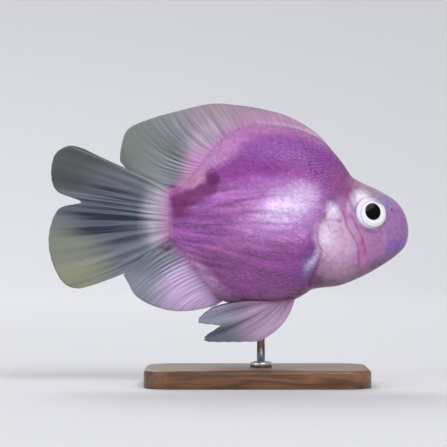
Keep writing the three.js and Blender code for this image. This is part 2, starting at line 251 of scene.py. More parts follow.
def new_material(name, **values):
    """A material whose one Principled shader holds these values. Returns it and its tree."""
    material = bpy.data.materials.new(name)
    material.use_nodes = True
    for socket, value in values.items():
        material.node_tree.nodes["Principled BSDF"].inputs[socket.replace("_", " ")].default_value = value
    return material, material.node_tree


def feed(tree, **outputs):
    """Links outputs to the inputs of a material's shader."""
    for socket, output in outputs.items():
        tree.links.new(output, tree.nodes["Principled BSDF"].inputs[socket.replace("_", " ")])


print("linear middle grey:", round(colour("#808080")[0], 3))

# %% [markdown]
# ## Camera, light and floor
#
# The photo looks at the fish's right side, square on. Its 447 pixels span 223.5 mm of the fish, so a long
# lens far back gives the same flat view. Three large soft lights stand for a studio. The floor could be a
# plane, but its edge would show from some sides, so it is one pale dish that curves up all round.

# %% Camera
IMAGE_PIXELS, MM_PER_PIXEL = 447, 0.5
PHOTO_SNOUT_PIXEL, PHOTO_LEVEL_PIXEL = 409, 222
CAMERA_DISTANCE, SENSOR = 1.15, 36.0

frame_width = IMAGE_PIXELS * MM_PER_PIXEL * MM
optics = bpy.data.cameras.new("camera")
optics.sensor_width = SENSOR
optics.lens = SENSOR * CAMERA_DISTANCE / frame_width
optics.clip_start = 0.05
camera = new_object("camera", optics)
camera.location = (
    (SNOUT_X - (PHOTO_SNOUT_PIXEL - IMAGE_PIXELS / 2) * MM_PER_PIXEL) * MM,
    -CAMERA_DISTANCE,
    (LEVEL + (PHOTO_LEVEL_PIXEL - IMAGE_PIXELS / 2) * MM_PER_PIXEL) * MM,
)
camera.rotation_euler = (math.pi / 2, 0, 0)
bpy.context.scene.camera = camera
print("lens:", round(optics.lens, 1), "mm, frame", round(frame_width, 4), "m wide")

# %% Light
FISH_MIDDLE = (0.0, 0.0, 0.08)
# name, place, size, watts
LAMPS = [
    ("key_light", (0.75, -1.60, 1.75), 1.1, 26.0),
    ("fill_light", (-1.70, -1.30, 0.80), 1.4, 10.0),
    ("back_light", (-0.50, 1.70, 1.60), 1.2, 20.0),
]
for name, at, size, watts in LAMPS:
    lamp = bpy.data.lights.new(name, "AREA")
    lamp.shape, lamp.size, lamp.energy = "DISK", size, watts
    holder = new_object(name, lamp)
    holder.location = at
    x, y, z = np.subtract(at, FISH_MIDDLE)
    holder.rotation_euler = (math.atan2(math.hypot(x, y), z), 0, math.atan2(x, -y))

world = bpy.data.worlds.new("studio air")
world.use_nodes = True
air = world.node_tree.nodes["Background"].inputs
air["Color"].default_value = colour("#F4F4F6")
air["Strength"].default_value = 0.62
bpy.context.scene.world = world
bpy.context.scene.view_settings.view_transform = "Standard"
print("lamps:", len(LAMPS), "with", sum(watts for *_, watts in LAMPS), "watts")

# %% Floor
DISH_FLAT, DISH_RISE = 1.6, 1.0
DISH_SIDES, DISH_STEPS = 96, 14

dish = [(0.3, 0.0), (1.2, 0.0)]
for a in np.linspace(0, math.pi / 2, DISH_STEPS):
    dish.append((DISH_FLAT + DISH_RISE * math.sin(a), DISH_RISE * (1 - math.cos(a))))
dish = ring_mesh("studio_floor", lathed(dish, DISH_SIDES), poles=[(0, 0, 0)], flip=True)
floor = new_object("studio_floor", dish)

# Matte paper gives the eye an even pale ground without a glint
paper, _ = new_material("matte paper backdrop", Base_Color=colour("#D2D3D7"), Roughness=0.9)
floor.data.materials.append(paper)
print("floor:", len(floor.data.polygons), "faces,", 2 * (DISH_FLAT + DISH_RISE), "m across")

# %% [markdown]
# ## The fish's colours
#
# A dyed blood parrot is violet on the back and orchid on the flank, and its dye thins out to pink and then to
# grey over the fins. An image would do it, but this model uses none. So two shader groups, one for the flesh
# and one for the fins, paint named soft patches over each other in the fish's side view. Skin and scales read
# the first, and the fins fade from it to the second, all from Object coordinates, so the markings run on from
# one piece to the next. A few flesh patches are painted light and shade: a sheen and a highlight on the
# flank, a highlight on the gill cover, and a sheen, a highlight and a shadow at the root of the pectoral fin.

# %% Colour patches
# name, middle (behind snout, height), radii, turn in degrees, softness, strength, colour
FIN_PATCHES = [
    ("fin grey", (90, 0), (400, 400), 0, 0.1, 1.0, "#606570"),
    ("back fin green", (133, 41), (22, 26), 0, 0.7, 0.9, "#7A857F"),
    ("back fin grey", (115, 52), (14, 12), 0, 0.7, 0.8, "#8B8E96"),
    ("back fin foot", (122, 27), (13, 9), 0, 0.7, 0.7, "#7C8488"),
    ("tail lobe top", (166, 25), (22, 14), 0, 0.6, 0.9, "#464A4B"),
    ("tail lobe middle", (145, 19), (15, 8), 20, 0.6, 0.8, "#5F626D"),
    ("tail lobe foot", (168, -17), (20, 19), 0, 0.5, 1.0, "#83897A"),
    ("tail edge foot", (168, -29), (14, 8), 0, 0.6, 0.8, "#8C9079"),
    ("tail middle", (152, 5), (20, 12), 0, 0.6, 1.0, "#5C6676"),
    ("tail blue", (143, -12), (14, 8), 0, 0.8, 0.7, "#586070"),
    ("tail root", (125, 2), (8, 14.5), 0, 0.6, 0.9, "#BAB0C2"),
    ("tail blush", (119.5, 2), (5.5, 13.5), 0, 0.6, 0.8, "#BE88B2"),
    ("anal fin grey", (124, -31), (22, 13), -15, 0.7, 0.9, "#9094A3"),
    ("anal fin slate", (131, -20), (8, 6), 0, 0.7, 0.8, "#717784"),
    ("anal fin lilac", (105, -32), (20, 14), -20, 0.5, 1.0, "#CDB2DE"),
    ("notch shade", (121.5, -12.5), (3.5, 2), 0, 0.7, 0.9, "#4A4452"),
    ("pelvic fin slate", (92, -55), (17, 8), 0, 0.6, 1.0, "#545C69"),
    ("pelvic fin pale", (98, -47), (12, 4), 0, 0.7, 0.9, "#8C90A0"),
    ("pelvic fin lilac", (69, -48), (15, 14), 0, 0.7, 1.0, "#A98AAE"),
    ("back fin mauve", (86, 48), (28, 15), 22, 0.5, 1.0, "#A2919F"),
    ("back fin pink", (58, 26), (42, 31), 0, 0.2, 1.0, "#B89AB2"),
    ("back fin rose", (84, 10), (31, 36), 0, 0.12, 0.9, "#BE94B8"),
    ("lilac haze", (101, 41), (12, 7), -35, 0.6, 0.8, "#B6AABF"),
    ("pink foot", (104, 29), (8, 8), -40, 0.6, 0.9, "#C698C4"),
    ("stalk shade", (118, 17), (2.5, 1.5), 0, 0.7, 0.8, "#54304F"),
]
FLESH_PATCHES = [
    ("orchid rim", (80, 0), (60, 60), 0, 0.1, 1.0, "#B46CAE"),
    ("flesh", (78, -3), (35, 40), 0, 0.16, 1.0, "#8E4896"),
    ("shoulder", (53, 4), (26, 36), 0, 0.2, 1.0, "#884694"),
    ("violet back", (66, 16), (36, 26), -4, 0.2, 1.0, "#8A4896"),
    ("violet glow", (69, 36), (17, 5.5), -4, 0.7, 0.8, "#9658AA"),
    ("orchid haze", (98, 33), (17, 7), -38, 0.6, 1.0, "#C488C2"),
    ("magenta band", (78, 11), (36, 20), -8, 0.16, 1.0, "#924296"),
    ("crest haze front", (48, 45.5), (18, 4.4), 27, 0.8, 0.9, "#B488B0"),
    ("crest haze top", (76, 51.5), (21, 5), 0, 0.8, 0.9, "#B888B2"),
    ("back lilac", (82, 5), (36, 16), -10, 0.25, 1.0, "#B270BC"),
    ("flank", (84, -8), (36, 20), -8, 0.3, 1.0, "#A25F9E"),
    ("rear flank", (107, 0), (14, 13), 0, 0.6, 0.8, "#9656A0"),
    ("pink mottle", (107, 21), (8, 4.5), -38, 0.6, 0.9, "#C48AB2"),
    ("dark saddle", (106, 14), (12, 4), -20, 0.5, 0.85, "#762868"),
    ("saddle spike", (98.2, 21.5), (2.8, 4.2), -10, 0.6, 0.9, "#641860"),
    ("dark corner", (115, 8.5), (6, 6.5), 0, 0.6, 1.0, "#78306C"),
    ("tail stalk blush", (122, 2), (3, 16), 0, 0.6, 0.9, "#B07AA8"),
    ("flank foot", (86, -27), (28, 12), 0, 0.5, 0.9, "#925694"),
    ("anal rim", (102, -31), (17, 5.5), 48, 0.6, 0.9, "#C094C2"),
    ("flank warmth", (64, -13), (12, 9), 0, 0.7, 0.7, "#9A4C98"),
    ("belly", (76, -41), (28, 6), 0, 0.7, 0.9, "#9A6694"),
    ("belly rear", (90, -38.5), (7, 3.5), 0, 0.7, 0.8, "#96709A"),
    ("belly front", (63, -35.5), (8, 4), 0, 0.7, 0.8, "#A070A0"),
    # painted sheen over the flank's paler lilac, then a painted highlight at its brightest
    ("flank glow", (64, 3), (21, 14), -20, 0.6, 0.9, "#C48ECF"),
    ("flank shine", (60.5, 8.5), (13.5, 7.5), -25, 0.6, 0.85, "#E6CCF2"),
    ("nape", (33, 17), (9, 12), 0, 0.6, 1.0, "#93508A"),
    ("head", (11, -4), (22, 26), 0, 0.2, 1.0, "#A880B0"),
    ("nape pink", (27, 14), (6, 9), 20, 0.7, 0.9, "#9C5488"),
    ("cheek top", (34.5, 6), (4, 6), -15, 0.6, 0.9, "#A87CAC"),
    ("forehead", (18, 14.5), (11, 4.5), 29, 0.6, 0.9, "#A99BAA"),
    ("brow", (12, 9.5), (4, 4), 29, 0.7, 0.8, "#9484B4"),
    ("snout", (3, 0), (8, 9), 0, 0.7, 0.9, "#9E76AA"),
    ("cheek", (18, -11), (10, 8), 0, 0.6, 0.9, "#B482B4"),
    ("lips", (7, -12), (5, 4), 0, 0.7, 0.8, "#8A66BA"),
    ("chin", (14, -23), (16, 5), -28, 0.6, 0.9, "#7C5F7C"),
    ("throat", (36, -31), (18, 6), -14, 0.6, 1.0, "#806A7C"),
    ("wedge", (28, -8), (5, 16), -20, 0.4, 1.0, "#CA84BA"),
    ("wedge red", (26.5, -7), (1.6, 8), -22, 0.8, 0.6, "#B8609A"),
    ("cheek light", (30.8, 7), (1.2, 2.8), -18, 0.7, 0.9, "#E0BCE8"),
    ("cheek light low", (26.2, -4), (1.0, 4), -22, 0.7, 0.6, "#C898C8"),
    ("gill plate", (37, -10), (10.5, 13), 0, 0.3, 1.0, "#D8B0D4"),
    ("gill foot", (38, -24), (10, 6), 0, 0.6, 0.8, "#C4A4BC"),
    # painted highlight on the gill cover's pale pink
    ("gill shine", (42, -7), (5, 7), 0, 0.7, 0.9, "#F4DEF2"),
    ("gill top", (39.6, 4.8), (2.9, 4.2), -15, 0.6, 0.95, "#F2E6FC"),
    ("eye haze", (24.5, 11), (5, 3.8), 20, 0.7, 0.95, "#F8F5FB"),
    ("eye shade", (28, 5), (2, 8), 0, 0.7, 0.5, "#B9A0CC"),
    ("armpit", (51, -18), (4, 10), 12, 0.6, 0.9, "#84408A"),
    # painted bluish sheen, then a painted highlight, at the root of the pectoral fin
    ("armpit blue", (52, -22), (3, 6), 12, 0.9, 0.5, "#8478BE"),
    ("armpit light", (48.8, -19), (6.5, 1.8), -60, 0.8, 0.75, "#DCCAF0"),
    # painted shadow under the gill cover, by the pectoral fin's root
    ("armpit dark", (47, -28.5), (3, 2), 0, 0.7, 0.8, "#86607A"),
]
print("patches:", len(FIN_PATCHES), "for fins,", len(FLESH_PATCHES), "for flesh")

# %% Colour groups
PATCH_WANDER, WANDER_SCALE = 2.0, 160.0  # how far, and how finely, noise bends the patches' edges
STREAK_ROOT = (165, 0, 1)  # behind snout, sideways, height
STREAKS_PER_RADIAN, STREAK_LENGTH = 20, 32
STREAK_ZONE = ((88, -6), (34, 25), 0, 0.35, 1.0)


def patch_mask(tree, spot, middle, radii, turned, softness, strength):
    """How strongly a soft-edged ellipse in the side view covers each point."""
    settings = {
        "Vector": spot,
        "Location": place(middle[0], 0, middle[1]).tolist(),
        "Rotation": (0, math.radians(turned), 0),
        "Scale": (radii[0] * MM, 1e3, radii[1] * MM),
    }
    local = add(tree, "ShaderNodeMapping", settings, vector_type="TEXTURE")
    reach = add(tree, "ShaderNodeVectorMath", {0: local}, operation="LENGTH")
    limits = {0: reach, 1: 1 - softness, 2: 1 + softness, 3: strength, 4: 0.0}
    return add(tree, "ShaderNodeMapRange", limits, interpolation_type="SMOOTHSTEP")


def streaked(tree, where, spot, paint):
    """Muscle bands show as fine streaks that draw together towards the tail."""
    root = place(*STREAK_ROOT).tolist()
    away = add(tree, "ShaderNodeVectorMath", {0: where, 1: root}, operation="SUBTRACT")
    flat = add(tree, "ShaderNodeVectorMath", {0: away, 1: (1, 0, 1)}, operation="MULTIPLY")
    rise = add(tree, "ShaderNodeSeparateXYZ", {0: flat}, "Z")
    angle = add(tree, "ShaderNodeMath", {0: rise, 1: rise.node.outputs["X"]}, operation="ARCTAN2")
    reach = add(tree, "ShaderNodeVectorMath", {0: flat}, operation="LENGTH")
    fan = add(tree, "ShaderNodeCombineXYZ", {0: angle, 1: reach})
    fineness = (STREAKS_PER_RADIAN, 1 / (STREAK_LENGTH * MM), 0)
    fine = add(tree, "ShaderNodeVectorMath", {0: fan, 1: fineness}, operation="MULTIPLY")
    streak = add(tree, "ShaderNodeTexNoise", {"Vector": fine, "Scale": 1.0, "Detail": 2.0, "Distortion": 0.5})
    bright = add(tree, "ShaderNodeMapRange", {0: streak, 1: 0.3, 2: 0.7, 3: 0.56, 4: 1.5})
    brushed = add(tree, "ShaderNodeVectorMath", {0: paint, "Scale": bright}, operation="SCALE")
    zone = patch_mask(tree, spot, *STREAK_ZONE)
    return add(tree, "ShaderNodeMix", {0: zone, 6: paint, 7: brushed}, data_type="RGBA")


def colour_group(title, patches, has_streaks):
    """A group that paints the first patch everywhere and the others over it, in their order."""
    tree = bpy.data.node_groups.new(title, "ShaderNodeTree")
    tree.interface.new_socket("Color", in_out="OUTPUT", socket_type="NodeSocketColor")
    where = add(tree, "ShaderNodeTexCoord", out="Object")
    noise = add(tree, "ShaderNodeTexNoise", {"Vector": where, "Scale": WANDER_SCALE, "Detail": 3.0}, "Color")
    centred = add(tree, "ShaderNodeVectorMath", {0: noise, 1: (0.5, 0.5, 0.5)}, operation="SUBTRACT")
    push = add(tree, "ShaderNodeVectorMath", {0: centred, "Scale": 2 * PATCH_WANDER * MM}, operation="SCALE")
    spot = add(tree, "ShaderNodeVectorMath", {0: where, 1: push}, operation="ADD")
    paint = add(tree, "ShaderNodeRGB", label=patches[0][0])
    paint.default_value = colour(patches[0][-1])
    for name, *shape, code in patches[1:]:
        layer = {0: patch_mask(tree, spot, *shape), 6: paint, 7: colour(code)}
        paint = add(tree, "ShaderNodeMix", layer, data_type="RGBA", label=name)
    if has_streaks:
        paint = streaked(tree, where, spot, paint)
    add(tree, "NodeGroupOutput", {0: paint})
    return tree


FIN_COLOURS = colour_group("fin colours", FIN_PATCHES, has_streaks=False)
FLESH_COLOURS = colour_group("flesh colours", FLESH_PATCHES, has_streaks=True)
print("colour nodes:", len(FIN_COLOURS.nodes), "for fins,", len(FLESH_COLOURS.nodes), "for flesh")

# %% [markdown]
# ## Skin
#
# Head, jaw, gill covers, trunk and tail stalk are one hide on the real fish, so one closed skin replaces
# their six solids and no seam shows. It could be sculpted; here it is lofted, because the outline is already
# known. Its folds are pushed in and out along lines named in the side view: the gill cover's free edge, the
# cheek bone's edge in front of it, the small mouth, the nostril, the fold under the eye and the crease over
# the pelvic fins.

# %% Lines in the side view
GILL_EDGE = [
    (37, 9), (43.5, 1.5), (46, -4.5), (45.5, -11), (44, -14.3), (45.5, -20.5), (48, -26.5), (51, -33),
]
CHEEK_EDGE = [(34.8, 8), (32.8, 2), (31.2, -3.5), (28, -8.5), (26.4, -13), (25.8, -18), (26.2, -25)]
CHEEK_LINE = [(31, 6.5), (28.6, 1), (26.4, -3.5), (24.2, -8.3), (22.8, -13), (22.2, -17)]
COVER_CREASE = [(44.2, 1), (39, 1), (34.4, 0.2)]
COVER_FOLD = [(41.4, 0.5), (40.3, -5.2), (37.4, -4.6), (33.2, -4)]
UNDER_EYE = [(23, -3.6), (20, -5), (17, -5.3), (14.5, -4.4)]
BELLY_CREASE = [(57, -36.6), (66, -39.2), (74, -39.4), (83, -38.2), (90, -36.5)]
MOUTH = [(-2, -7.4), (1.5, -8.2), (4.3, -9.6), (6.4, -11.2)]
NOSTRIL = (9, 6)
# groove, depth, half width, how dark its painted shade is
GROOVES = [
    (CHEEK_EDGE, 0.17, 0.75, 0.50),
    (CHEEK_LINE, 0.15, 0.65, 0.45),
    (COVER_CREASE, 0.25, 0.60, 0.45),
    (COVER_FOLD, 0.14, 0.55, 0.28),
    (UNDER_EYE, 0.40, 0.80, 0.22),
    (BELLY_CREASE, 0.50, 0.80, 0.60),
    (MOUTH, 0.15, 0.40, 0.22),
]


def catmull(guides, t):
    """A smooth curve through evenly counted guide points, t from 0 to 1. The solids use the same spline."""
    guides = np.asarray(guides, float)
    last = len(guides) - 1
    at = np.clip(np.asarray(t, float), 0, 1) * last
    i = np.minimum(at.astype(int), last - 1)
    w = (at - i)[..., None]
    p0 = guides[np.where(i == 0, i, i - 1)]
    p1, p2 = guides[i], guides[i + 1]
    p3 = guides[np.minimum(i + 2, last)]
    v0, v1 = (p2 - p0) / 2, (p3 - p1) / 2
    return (2 * p1 - 2 * p2 + v0 + v1) * w**3 + (-3 * p1 + 3 * p2 - 2 * v0 - v1) * w**2 + v0 * w + p1


def fade(x, low, high):
    """0 below low, 1 above high, smooth between."""
    t = np.clip((x - low) / (high - low), 0, 1)
    return t * t * (3 - 2 * t)


def bump(x, width):
    """1 at nothing, falling away to both sides like a bell."""
    return np.exp(-((x / width) ** 2))


def to_line(s, h, guides):
    """Distance of points to a smooth line in the side view, their side of it, and how far along they are."""
    line = catmull(guides, np.linspace(0, 1, 12 * (len(guides) - 1) + 1))
    best = np.full(s.shape, 1e9)
    side, along = np.zeros(s.shape), np.zeros(s.shape)
    for i, (a, b) in enumerate(zip(line[:-1], line[1:])):
        d = b - a
        t = np.clip(((s - a[0]) * d[0] + (h - a[1]) * d[1]) / (d @ d), 0, 1)
        ds, dh = s - a[0] - t * d[0], h - a[1] - t * d[1]
        gap = np.hypot(ds, dh)
        closer = gap < best
        best = np.where(closer, gap, best)
        side = np.where(closer, np.sign(d[0] * dh - d[1] * ds), side)
        along = np.where(closer, (i + t) / (len(line) - 1), along)
    return best, side, along


print("grooves:", len(GROOVES), "and the gill cover's edge")

# %% Where the eye sits
EYE_AT = (20.3, 4)
EYE_RADIUS, EYE_HALF_DEPTH, EYE_STANDS_OUT = 8.2, 4.6, 1.9
EYE_TURN, EYE_LIFT = math.radians(12), math.radians(16)  # looks this far forward, and this far up


def flank(s, h):
    """Half width of the body at a height."""
    mid = widest_at(s)
    up = h > mid
    share = np.abs(h - mid) / np.where(up, back(s) - mid, mid - belly(s))
    power = np.where(up, back_fullness(s), BELLY_FULLNESS)
    return half_width(s) * np.maximum(1 - share**power, 0) ** (1 / power)


def eye_frame(side):
    """The eye's middle in millimetres of the frame, and the axes that turn its own shape into place."""
    s, h = EYE_AT
    middle = place(s, side * (flank(np.float64(s), h) + EYE_STANDS_OUT - EYE_HALF_DEPTH), h) / MM
    turned, lifted = -side * EYE_TURN, side * EYE_LIFT
    about_z = [[math.cos(turned), -math.sin(turned), 0], [math.sin(turned), math.cos(turned), 0], [0, 0, 1]]
    about_x = [[1, 0, 0], [0, math.cos(lifted), -math.sin(lifted)], [0, math.sin(lifted), math.cos(lifted)]]
    return middle, np.array(about_x) @ np.array(about_z)


print("eye's middle:", eye_frame(-1)[0].round(1).tolist())

# %% Relief
# each is a distance from its line or middle, a half width, and a height or the darkness of a painted shade
GILL_STEP, GILL_SHADE = (0.4, 1.2, 0.35), (0.4, 0.8, 0.35)  # just behind the cover's free edge
COVER_SWELL, COVER_SWELL_FADE = 0.5, 9  # in front of it
BEHIND_COVER = (60, -10)
MOUTH_LIP = (1.2, 0.7, 0.12)
NOSTRIL_RIM, NOSTRIL_PIT, NOSTRIL_SHADE = (1.1, 0.4, 0.25), (0, 0.6, 0.7), (0, 0.5, 0.5)
EYELID, EYE_SHADE = (8.7, 0.6, 0.35), (8.0, 0.3, 0.08)
SOCKET_FLOOR, SOCKET_EDGE, SOCKET_DEPTH = 7.0, 8.1, 3.6
# the painted shade in folds, pits and round the eye goes no darker than this
DEEPEST_PAINTED_SHADE = 0.75


def swell(gap, shape):
    """The height of a rounded swelling at a distance from its line or middle."""
    at, width, height = shape
    return height * bump(gap - at, width)


def relief(s, h, points):
    """How far the skin stands out at each point, and how dark the painted shade in its folds, pits and rims
    is.
    """
    gap, side, along = to_line(s, h, GILL_EDGE)
    behind = side == to_line(*np.array(BEHIND_COVER, float)[:, None], GILL_EDGE)[1][0]
    ends = fade(along, 0, 0.1) * (1 - fade(along, 0.9, 1))
    out = ends * np.where(behind, -swell(gap, GILL_STEP), COVER_SWELL * np.exp(-gap / COVER_SWELL_FADE))
    dark = ends * np.where(behind, swell(gap, GILL_SHADE), 0)
    for line, depth, width, darkness in GROOVES:
        gap, side, along = to_line(s, h, line)
        ends = fade(along, 0, 0.15) * (1 - fade(along, 0.85, 1))
        if line is MOUTH:
            ends = 1 - fade(along, 0.8, 1)
            out += ends * swell(gap, MOUTH_LIP)
        out -= ends * depth * bump(gap, width)
        dark += ends * darkness * bump(gap, width * 0.9)
    pit = np.hypot(s - NOSTRIL[0], h - NOSTRIL[1])
    out += swell(pit, NOSTRIL_RIM) - swell(pit, NOSTRIL_PIT)
    dark += swell(pit, NOSTRIL_SHADE)
    for eye_side in (1, -1):
        middle, axes = eye_frame(eye_side)
        local = (points - middle) @ axes
        from_eye = np.where(points[..., 1] * eye_side > 0, np.hypot(local[..., 0], local[..., 2]), 99)
        out += swell(from_eye, EYELID) - SOCKET_DEPTH * (1 - fade(from_eye, SOCKET_FLOOR, SOCKET_EDGE))
        dark += swell(from_eye, EYE_SHADE)
    return out, np.clip(dark, 0, DEEPEST_PAINTED_SHADE)


def grid_normals(points):
    """Outward normals over a grid that closes on itself sideways."""
    across = np.roll(points, -1, axis=1) - np.roll(points, 1, axis=1)
    along = np.gradient(points, axis=0)
    normal = np.cross(along, across)
    return normal / np.maximum(np.linalg.norm(normal, axis=-1, keepdims=True), 1e-12)


# %% Skin mesh
STATIONS, AROUND = 318, 300
STATION_CROWDING = 1.75  # above 1, stations stand closer at the head

station_s = FLESH_LENGTH * np.linspace(0.0005, 1, STATIONS) ** STATION_CROWDING
station_s[0] = 0.0
column_angle = -math.pi / 2 + 2 * math.pi * np.arange(AROUND) / AROUND
skin_s, skin_y, skin_h = body_point(*np.meshgrid(station_s, column_angle, indexing="ij"), COAT_DEPTH)
smooth_skin = place(skin_s, skin_y, skin_h) / MM
outward = grid_normals(smooth_skin)
# folds, pits and the eye's rim get a painted shade, kept with the skin as its shade attribute
stands_out, fold_painted_shade = relief(skin_s, skin_h, smooth_skin)
skin_grid = smooth_skin + outward * stands_out[..., None]
shade = {"shade": np.append(1 - fold_painted_shade.ravel(), [1, 1])}
poles = skin_grid[[0, -1]].mean(axis=1) * MM
skin = new_object("skin", ring_mesh("skin", skin_grid * MM, poles, flip=True, values=shade))
tell(skin)
print("relief from", round(float(stands_out.min()), 2), "to", round(float(stands_out.max()), 2), "mm")

# %% [markdown]
# ## Wet hide
#
# The hide's dye sits under a clear slime, so its colour glows softly and its gloss is broad and broken. A
# picture of a fish could be stretched over it, but would smear at the belly. The colour group, a little noise
# and a painted shade in the folds give the same look from every side.


# %% Skin finish
def noise_value(tree, grain, low, high, detail=3.0):
    """Noise with grains this many millimetres across, stretched to run from low to high."""
    where = add(tree, "ShaderNodeTexCoord", out="Object")
    noise = add(tree, "ShaderNodeTexNoise", {"Vector": where, "Scale": 1 / (grain * MM), "Detail": detail})
    return add(tree, "ShaderNodeMapRange", {0: noise, 1: 0.3, 2: 0.7, 3: low, 4: high})


def layered(tree, ground, *layers):
    """Lays colours over a ground, each through its own mask."""
    for mask, paint in layers:
        ground = add(tree, "ShaderNodeMix", {0: mask, 6: ground, 7: paint}, data_type="RGBA")
    return ground


def times(tree, paint, *shades):
    """A colour darkened or brightened by numbers."""
    for shade in shades:
        paint = add(tree, "ShaderNodeVectorMath", {0: paint, "Scale": shade}, operation="SCALE")
    return paint


# Wet fish hide: dye under a clear slime gives the eye a soft glow, a broad gloss and a faint mottle
skin_finish, tree = new_material(
    "wet dyed hide", IOR=1.4, Subsurface_Weight=0.12, Subsurface_Scale=0.002, Coat_Weight=0.10,
    Subsurface_Radius=(1.0, 0.55, 0.8), Coat_Roughness=0.2, Specular_IOR_Level=0.3,
)
mottle = layered(tree, colour("#E0D2E0"), (noise_value(tree, 2.6, 0.0, 1.0, 5.0), colour("#FFFFFF")))
dyed = add(tree, "ShaderNodeGroup", node_tree=FLESH_COLOURS)
paint = add(tree, "ShaderNodeMix", {0: 1.0, 6: dyed, 7: mottle}, data_type="RGBA", blend_type="MULTIPLY")
# painted shade: the folds darken towards a wine colour
shade = add(tree, "ShaderNodeAttribute", out="Fac", attribute_name="shade")
folds = add(tree, "ShaderNodeMath", {0: 1.0, 1: shade}, operation="SUBTRACT")
pores = {"Height": noise_value(tree, 0.9, 0.0, 1.0), "Distance": 0.09 * MM}
feed(
    tree, Base_Color=layered(tree, paint, (folds, colour("#782C62"))),
    Roughness=noise_value(tree, 1.5, 0.28, 0.46), Normal=add(tree, "ShaderNodeBump", pores),
)
skin.data.materials.append(skin_finish)
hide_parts("head", "lower_jaw", "gill_cover_left", "gill_cover_right", "trunk", "tail_stalk")
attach(skin, "root")
print("hide:", len(tree.nodes), "nodes")

# %% [markdown]
# ## Eyes
#
# The eye is large and white, with an upright black pupil and thin grey rings. A ball inside a lid would do;
# this one is a single flattened dome, because little of the ball shows. Its rings and the lid's shade are
# drawn from an attribute that holds each point's place on the dome, in millimetres from its middle.

# %% Eye shape
EYE_RINGS, EYE_TURNS = 48, 96
EYE_FLATNESS = 3.0  # above 2, flatter in front with steeper sides


def eye_mesh(name, side):
    middle, axes = eye_frame(side)
    polar = np.linspace(0, math.pi, EYE_RINGS)[1:-1]
    around = np.linspace(0, 2 * math.pi, EYE_TURNS, endpoint=False)
    polar, around = np.meshgrid(polar, around, indexing="ij")
    rho = bent(np.sin(polar), 2 / EYE_FLATNESS)
    dome = [rho * np.cos(around), bent(np.cos(polar), 2 / EYE_FLATNESS), rho * np.sin(around)]
    local = np.concatenate([np.stack(dome, -1).reshape(-1, 3), [(0, 1, 0), (0, -1, 0)]])
    local *= [EYE_RADIUS, EYE_HALF_DEPTH * side, EYE_RADIUS]
    points = (local @ axes.T + middle) * MM
    rings = points[:-2].reshape(EYE_RINGS - 2, EYE_TURNS, 3)
    disc = local[:, [0, 2, 1]] * [1, 1, side]
    return ring_mesh(name, rings, points[-2:], flip=side < 0, values={"disc": disc})


print("eye:", 2 * EYE_RADIUS, "mm across,", 2 * EYE_HALF_DEPTH, "mm deep")


# %% Eye rings
PUPIL_AT, PUPIL_RADII = (0.45, 0.0), (3.95, 4.3)
IRIS_AT, IRIS_REACH = (1.1, -0.9), 12.0  # the rings' colours run from the iris's middle over this length
IRIS_STOPS = [
    (0.30, "#E6E4EC"), (0.36, "#F7F7FB"), (0.42, "#F3F1F7"), (0.455, "#D9D6E2"), (0.48, "#F6F3FA"),
    (0.515, "#F2EEF8"), (0.55, "#C4BECF"), (0.60, "#EDE8F5"), (0.72, "#EFE6F8"), (1.0, "#D9C8E6"),
]
LID_LEAN, LID_FROM, LID_TO = 0.25, 4.9, 5.7  # the lid hangs over the top of the eye
LID_PALE, LID_DUSKY = -3.0, 3.5  # it is pale behind the eye and dusky in front

# Eyeball under a clear cornea gives the eye a white iris, thin grey rings and a jet pupil under a wet gloss
eye_finish, tree = new_material("wet cornea", Roughness=0.34, IOR=1.34, Coat_Weight=0.1, Coat_Roughness=0.04)
disc = add(tree, "ShaderNodeAttribute", out="Vector", attribute_name="disc")
flat = add(tree, "ShaderNodeVectorMath", {0: disc, 1: (1, 1, 0)}, operation="MULTIPLY")


def reach_from(middle, radii):
    """Where each point of the eye is from a middle, in radii, and how far that is."""
    moved = add(tree, "ShaderNodeVectorMath", {0: flat, 1: (*middle, 0)}, operation="SUBTRACT")
    shrunk = {0: moved, 1: (1 / radii[0], 1 / radii[1], 0)}
    local = add(tree, "ShaderNodeVectorMath", shrunk, operation="MULTIPLY")
    return local, add(tree, "ShaderNodeVectorMath", {0: local}, operation="LENGTH")


pupil_local, pupil_reach = reach_from(PUPIL_AT, PUPIL_RADII)
iris_reach = reach_from(IRIS_AT, (IRIS_REACH, IRIS_REACH))[1]
rim_reach = reach_from((0, 0), (EYE_RADIUS, EYE_RADIUS))[1]
white = add(tree, "ShaderNodeValToRGB", {0: iris_reach})
stops = white.node.color_ramp.elements
while len(stops) < len(IRIS_STOPS):
    stops.new(0.5)
for stop, (at, code) in zip(stops, IRIS_STOPS):
    stop.position, stop.color = at, colour(code)
spoke_noise = add(tree, "ShaderNodeTexNoise", {"Vector": pupil_local, "Scale": 2.6, "Detail": 4.0})
spokes = add(tree, "ShaderNodeMapRange", {0: spoke_noise, 1: 0.3, 2: 0.7, 3: 0.90, 4: 1.04})
white = times(tree, white, spokes)
leaning = add(tree, "ShaderNodeVectorMath", {0: flat, 1: (LID_LEAN, 1, 0)}, operation="DOT_PRODUCT")
forward = add(tree, "ShaderNodeVectorMath", {0: flat, 1: (1, 0, 0)}, operation="DOT_PRODUCT")
in_front = add(tree, "ShaderNodeMapRange", {0: forward, 1: LID_PALE, 2: LID_DUSKY, 3: 0.0, 4: 1.0})
lid = layered(tree, colour("#E6E2EE"), (in_front, colour("#A28EB2")))
rim_mask = add(tree, "ShaderNodeMapRange", {0: rim_reach, 1: 0.88, 2: 0.98, 3: 0.0, 4: 0.4})
lid_mask = add(tree, "ShaderNodeMapRange", {0: leaning, 1: LID_FROM, 2: LID_TO, 3: 0.0, 4: 0.9})
pupil_mask = add(tree, "ShaderNodeMapRange", {0: pupil_reach, 1: 0.97, 2: 1.05, 3: 1.0, 4: 0.0})
layers = [(rim_mask, colour("#9C86B4")), (lid_mask, lid), (pupil_mask, colour("#030304"))]
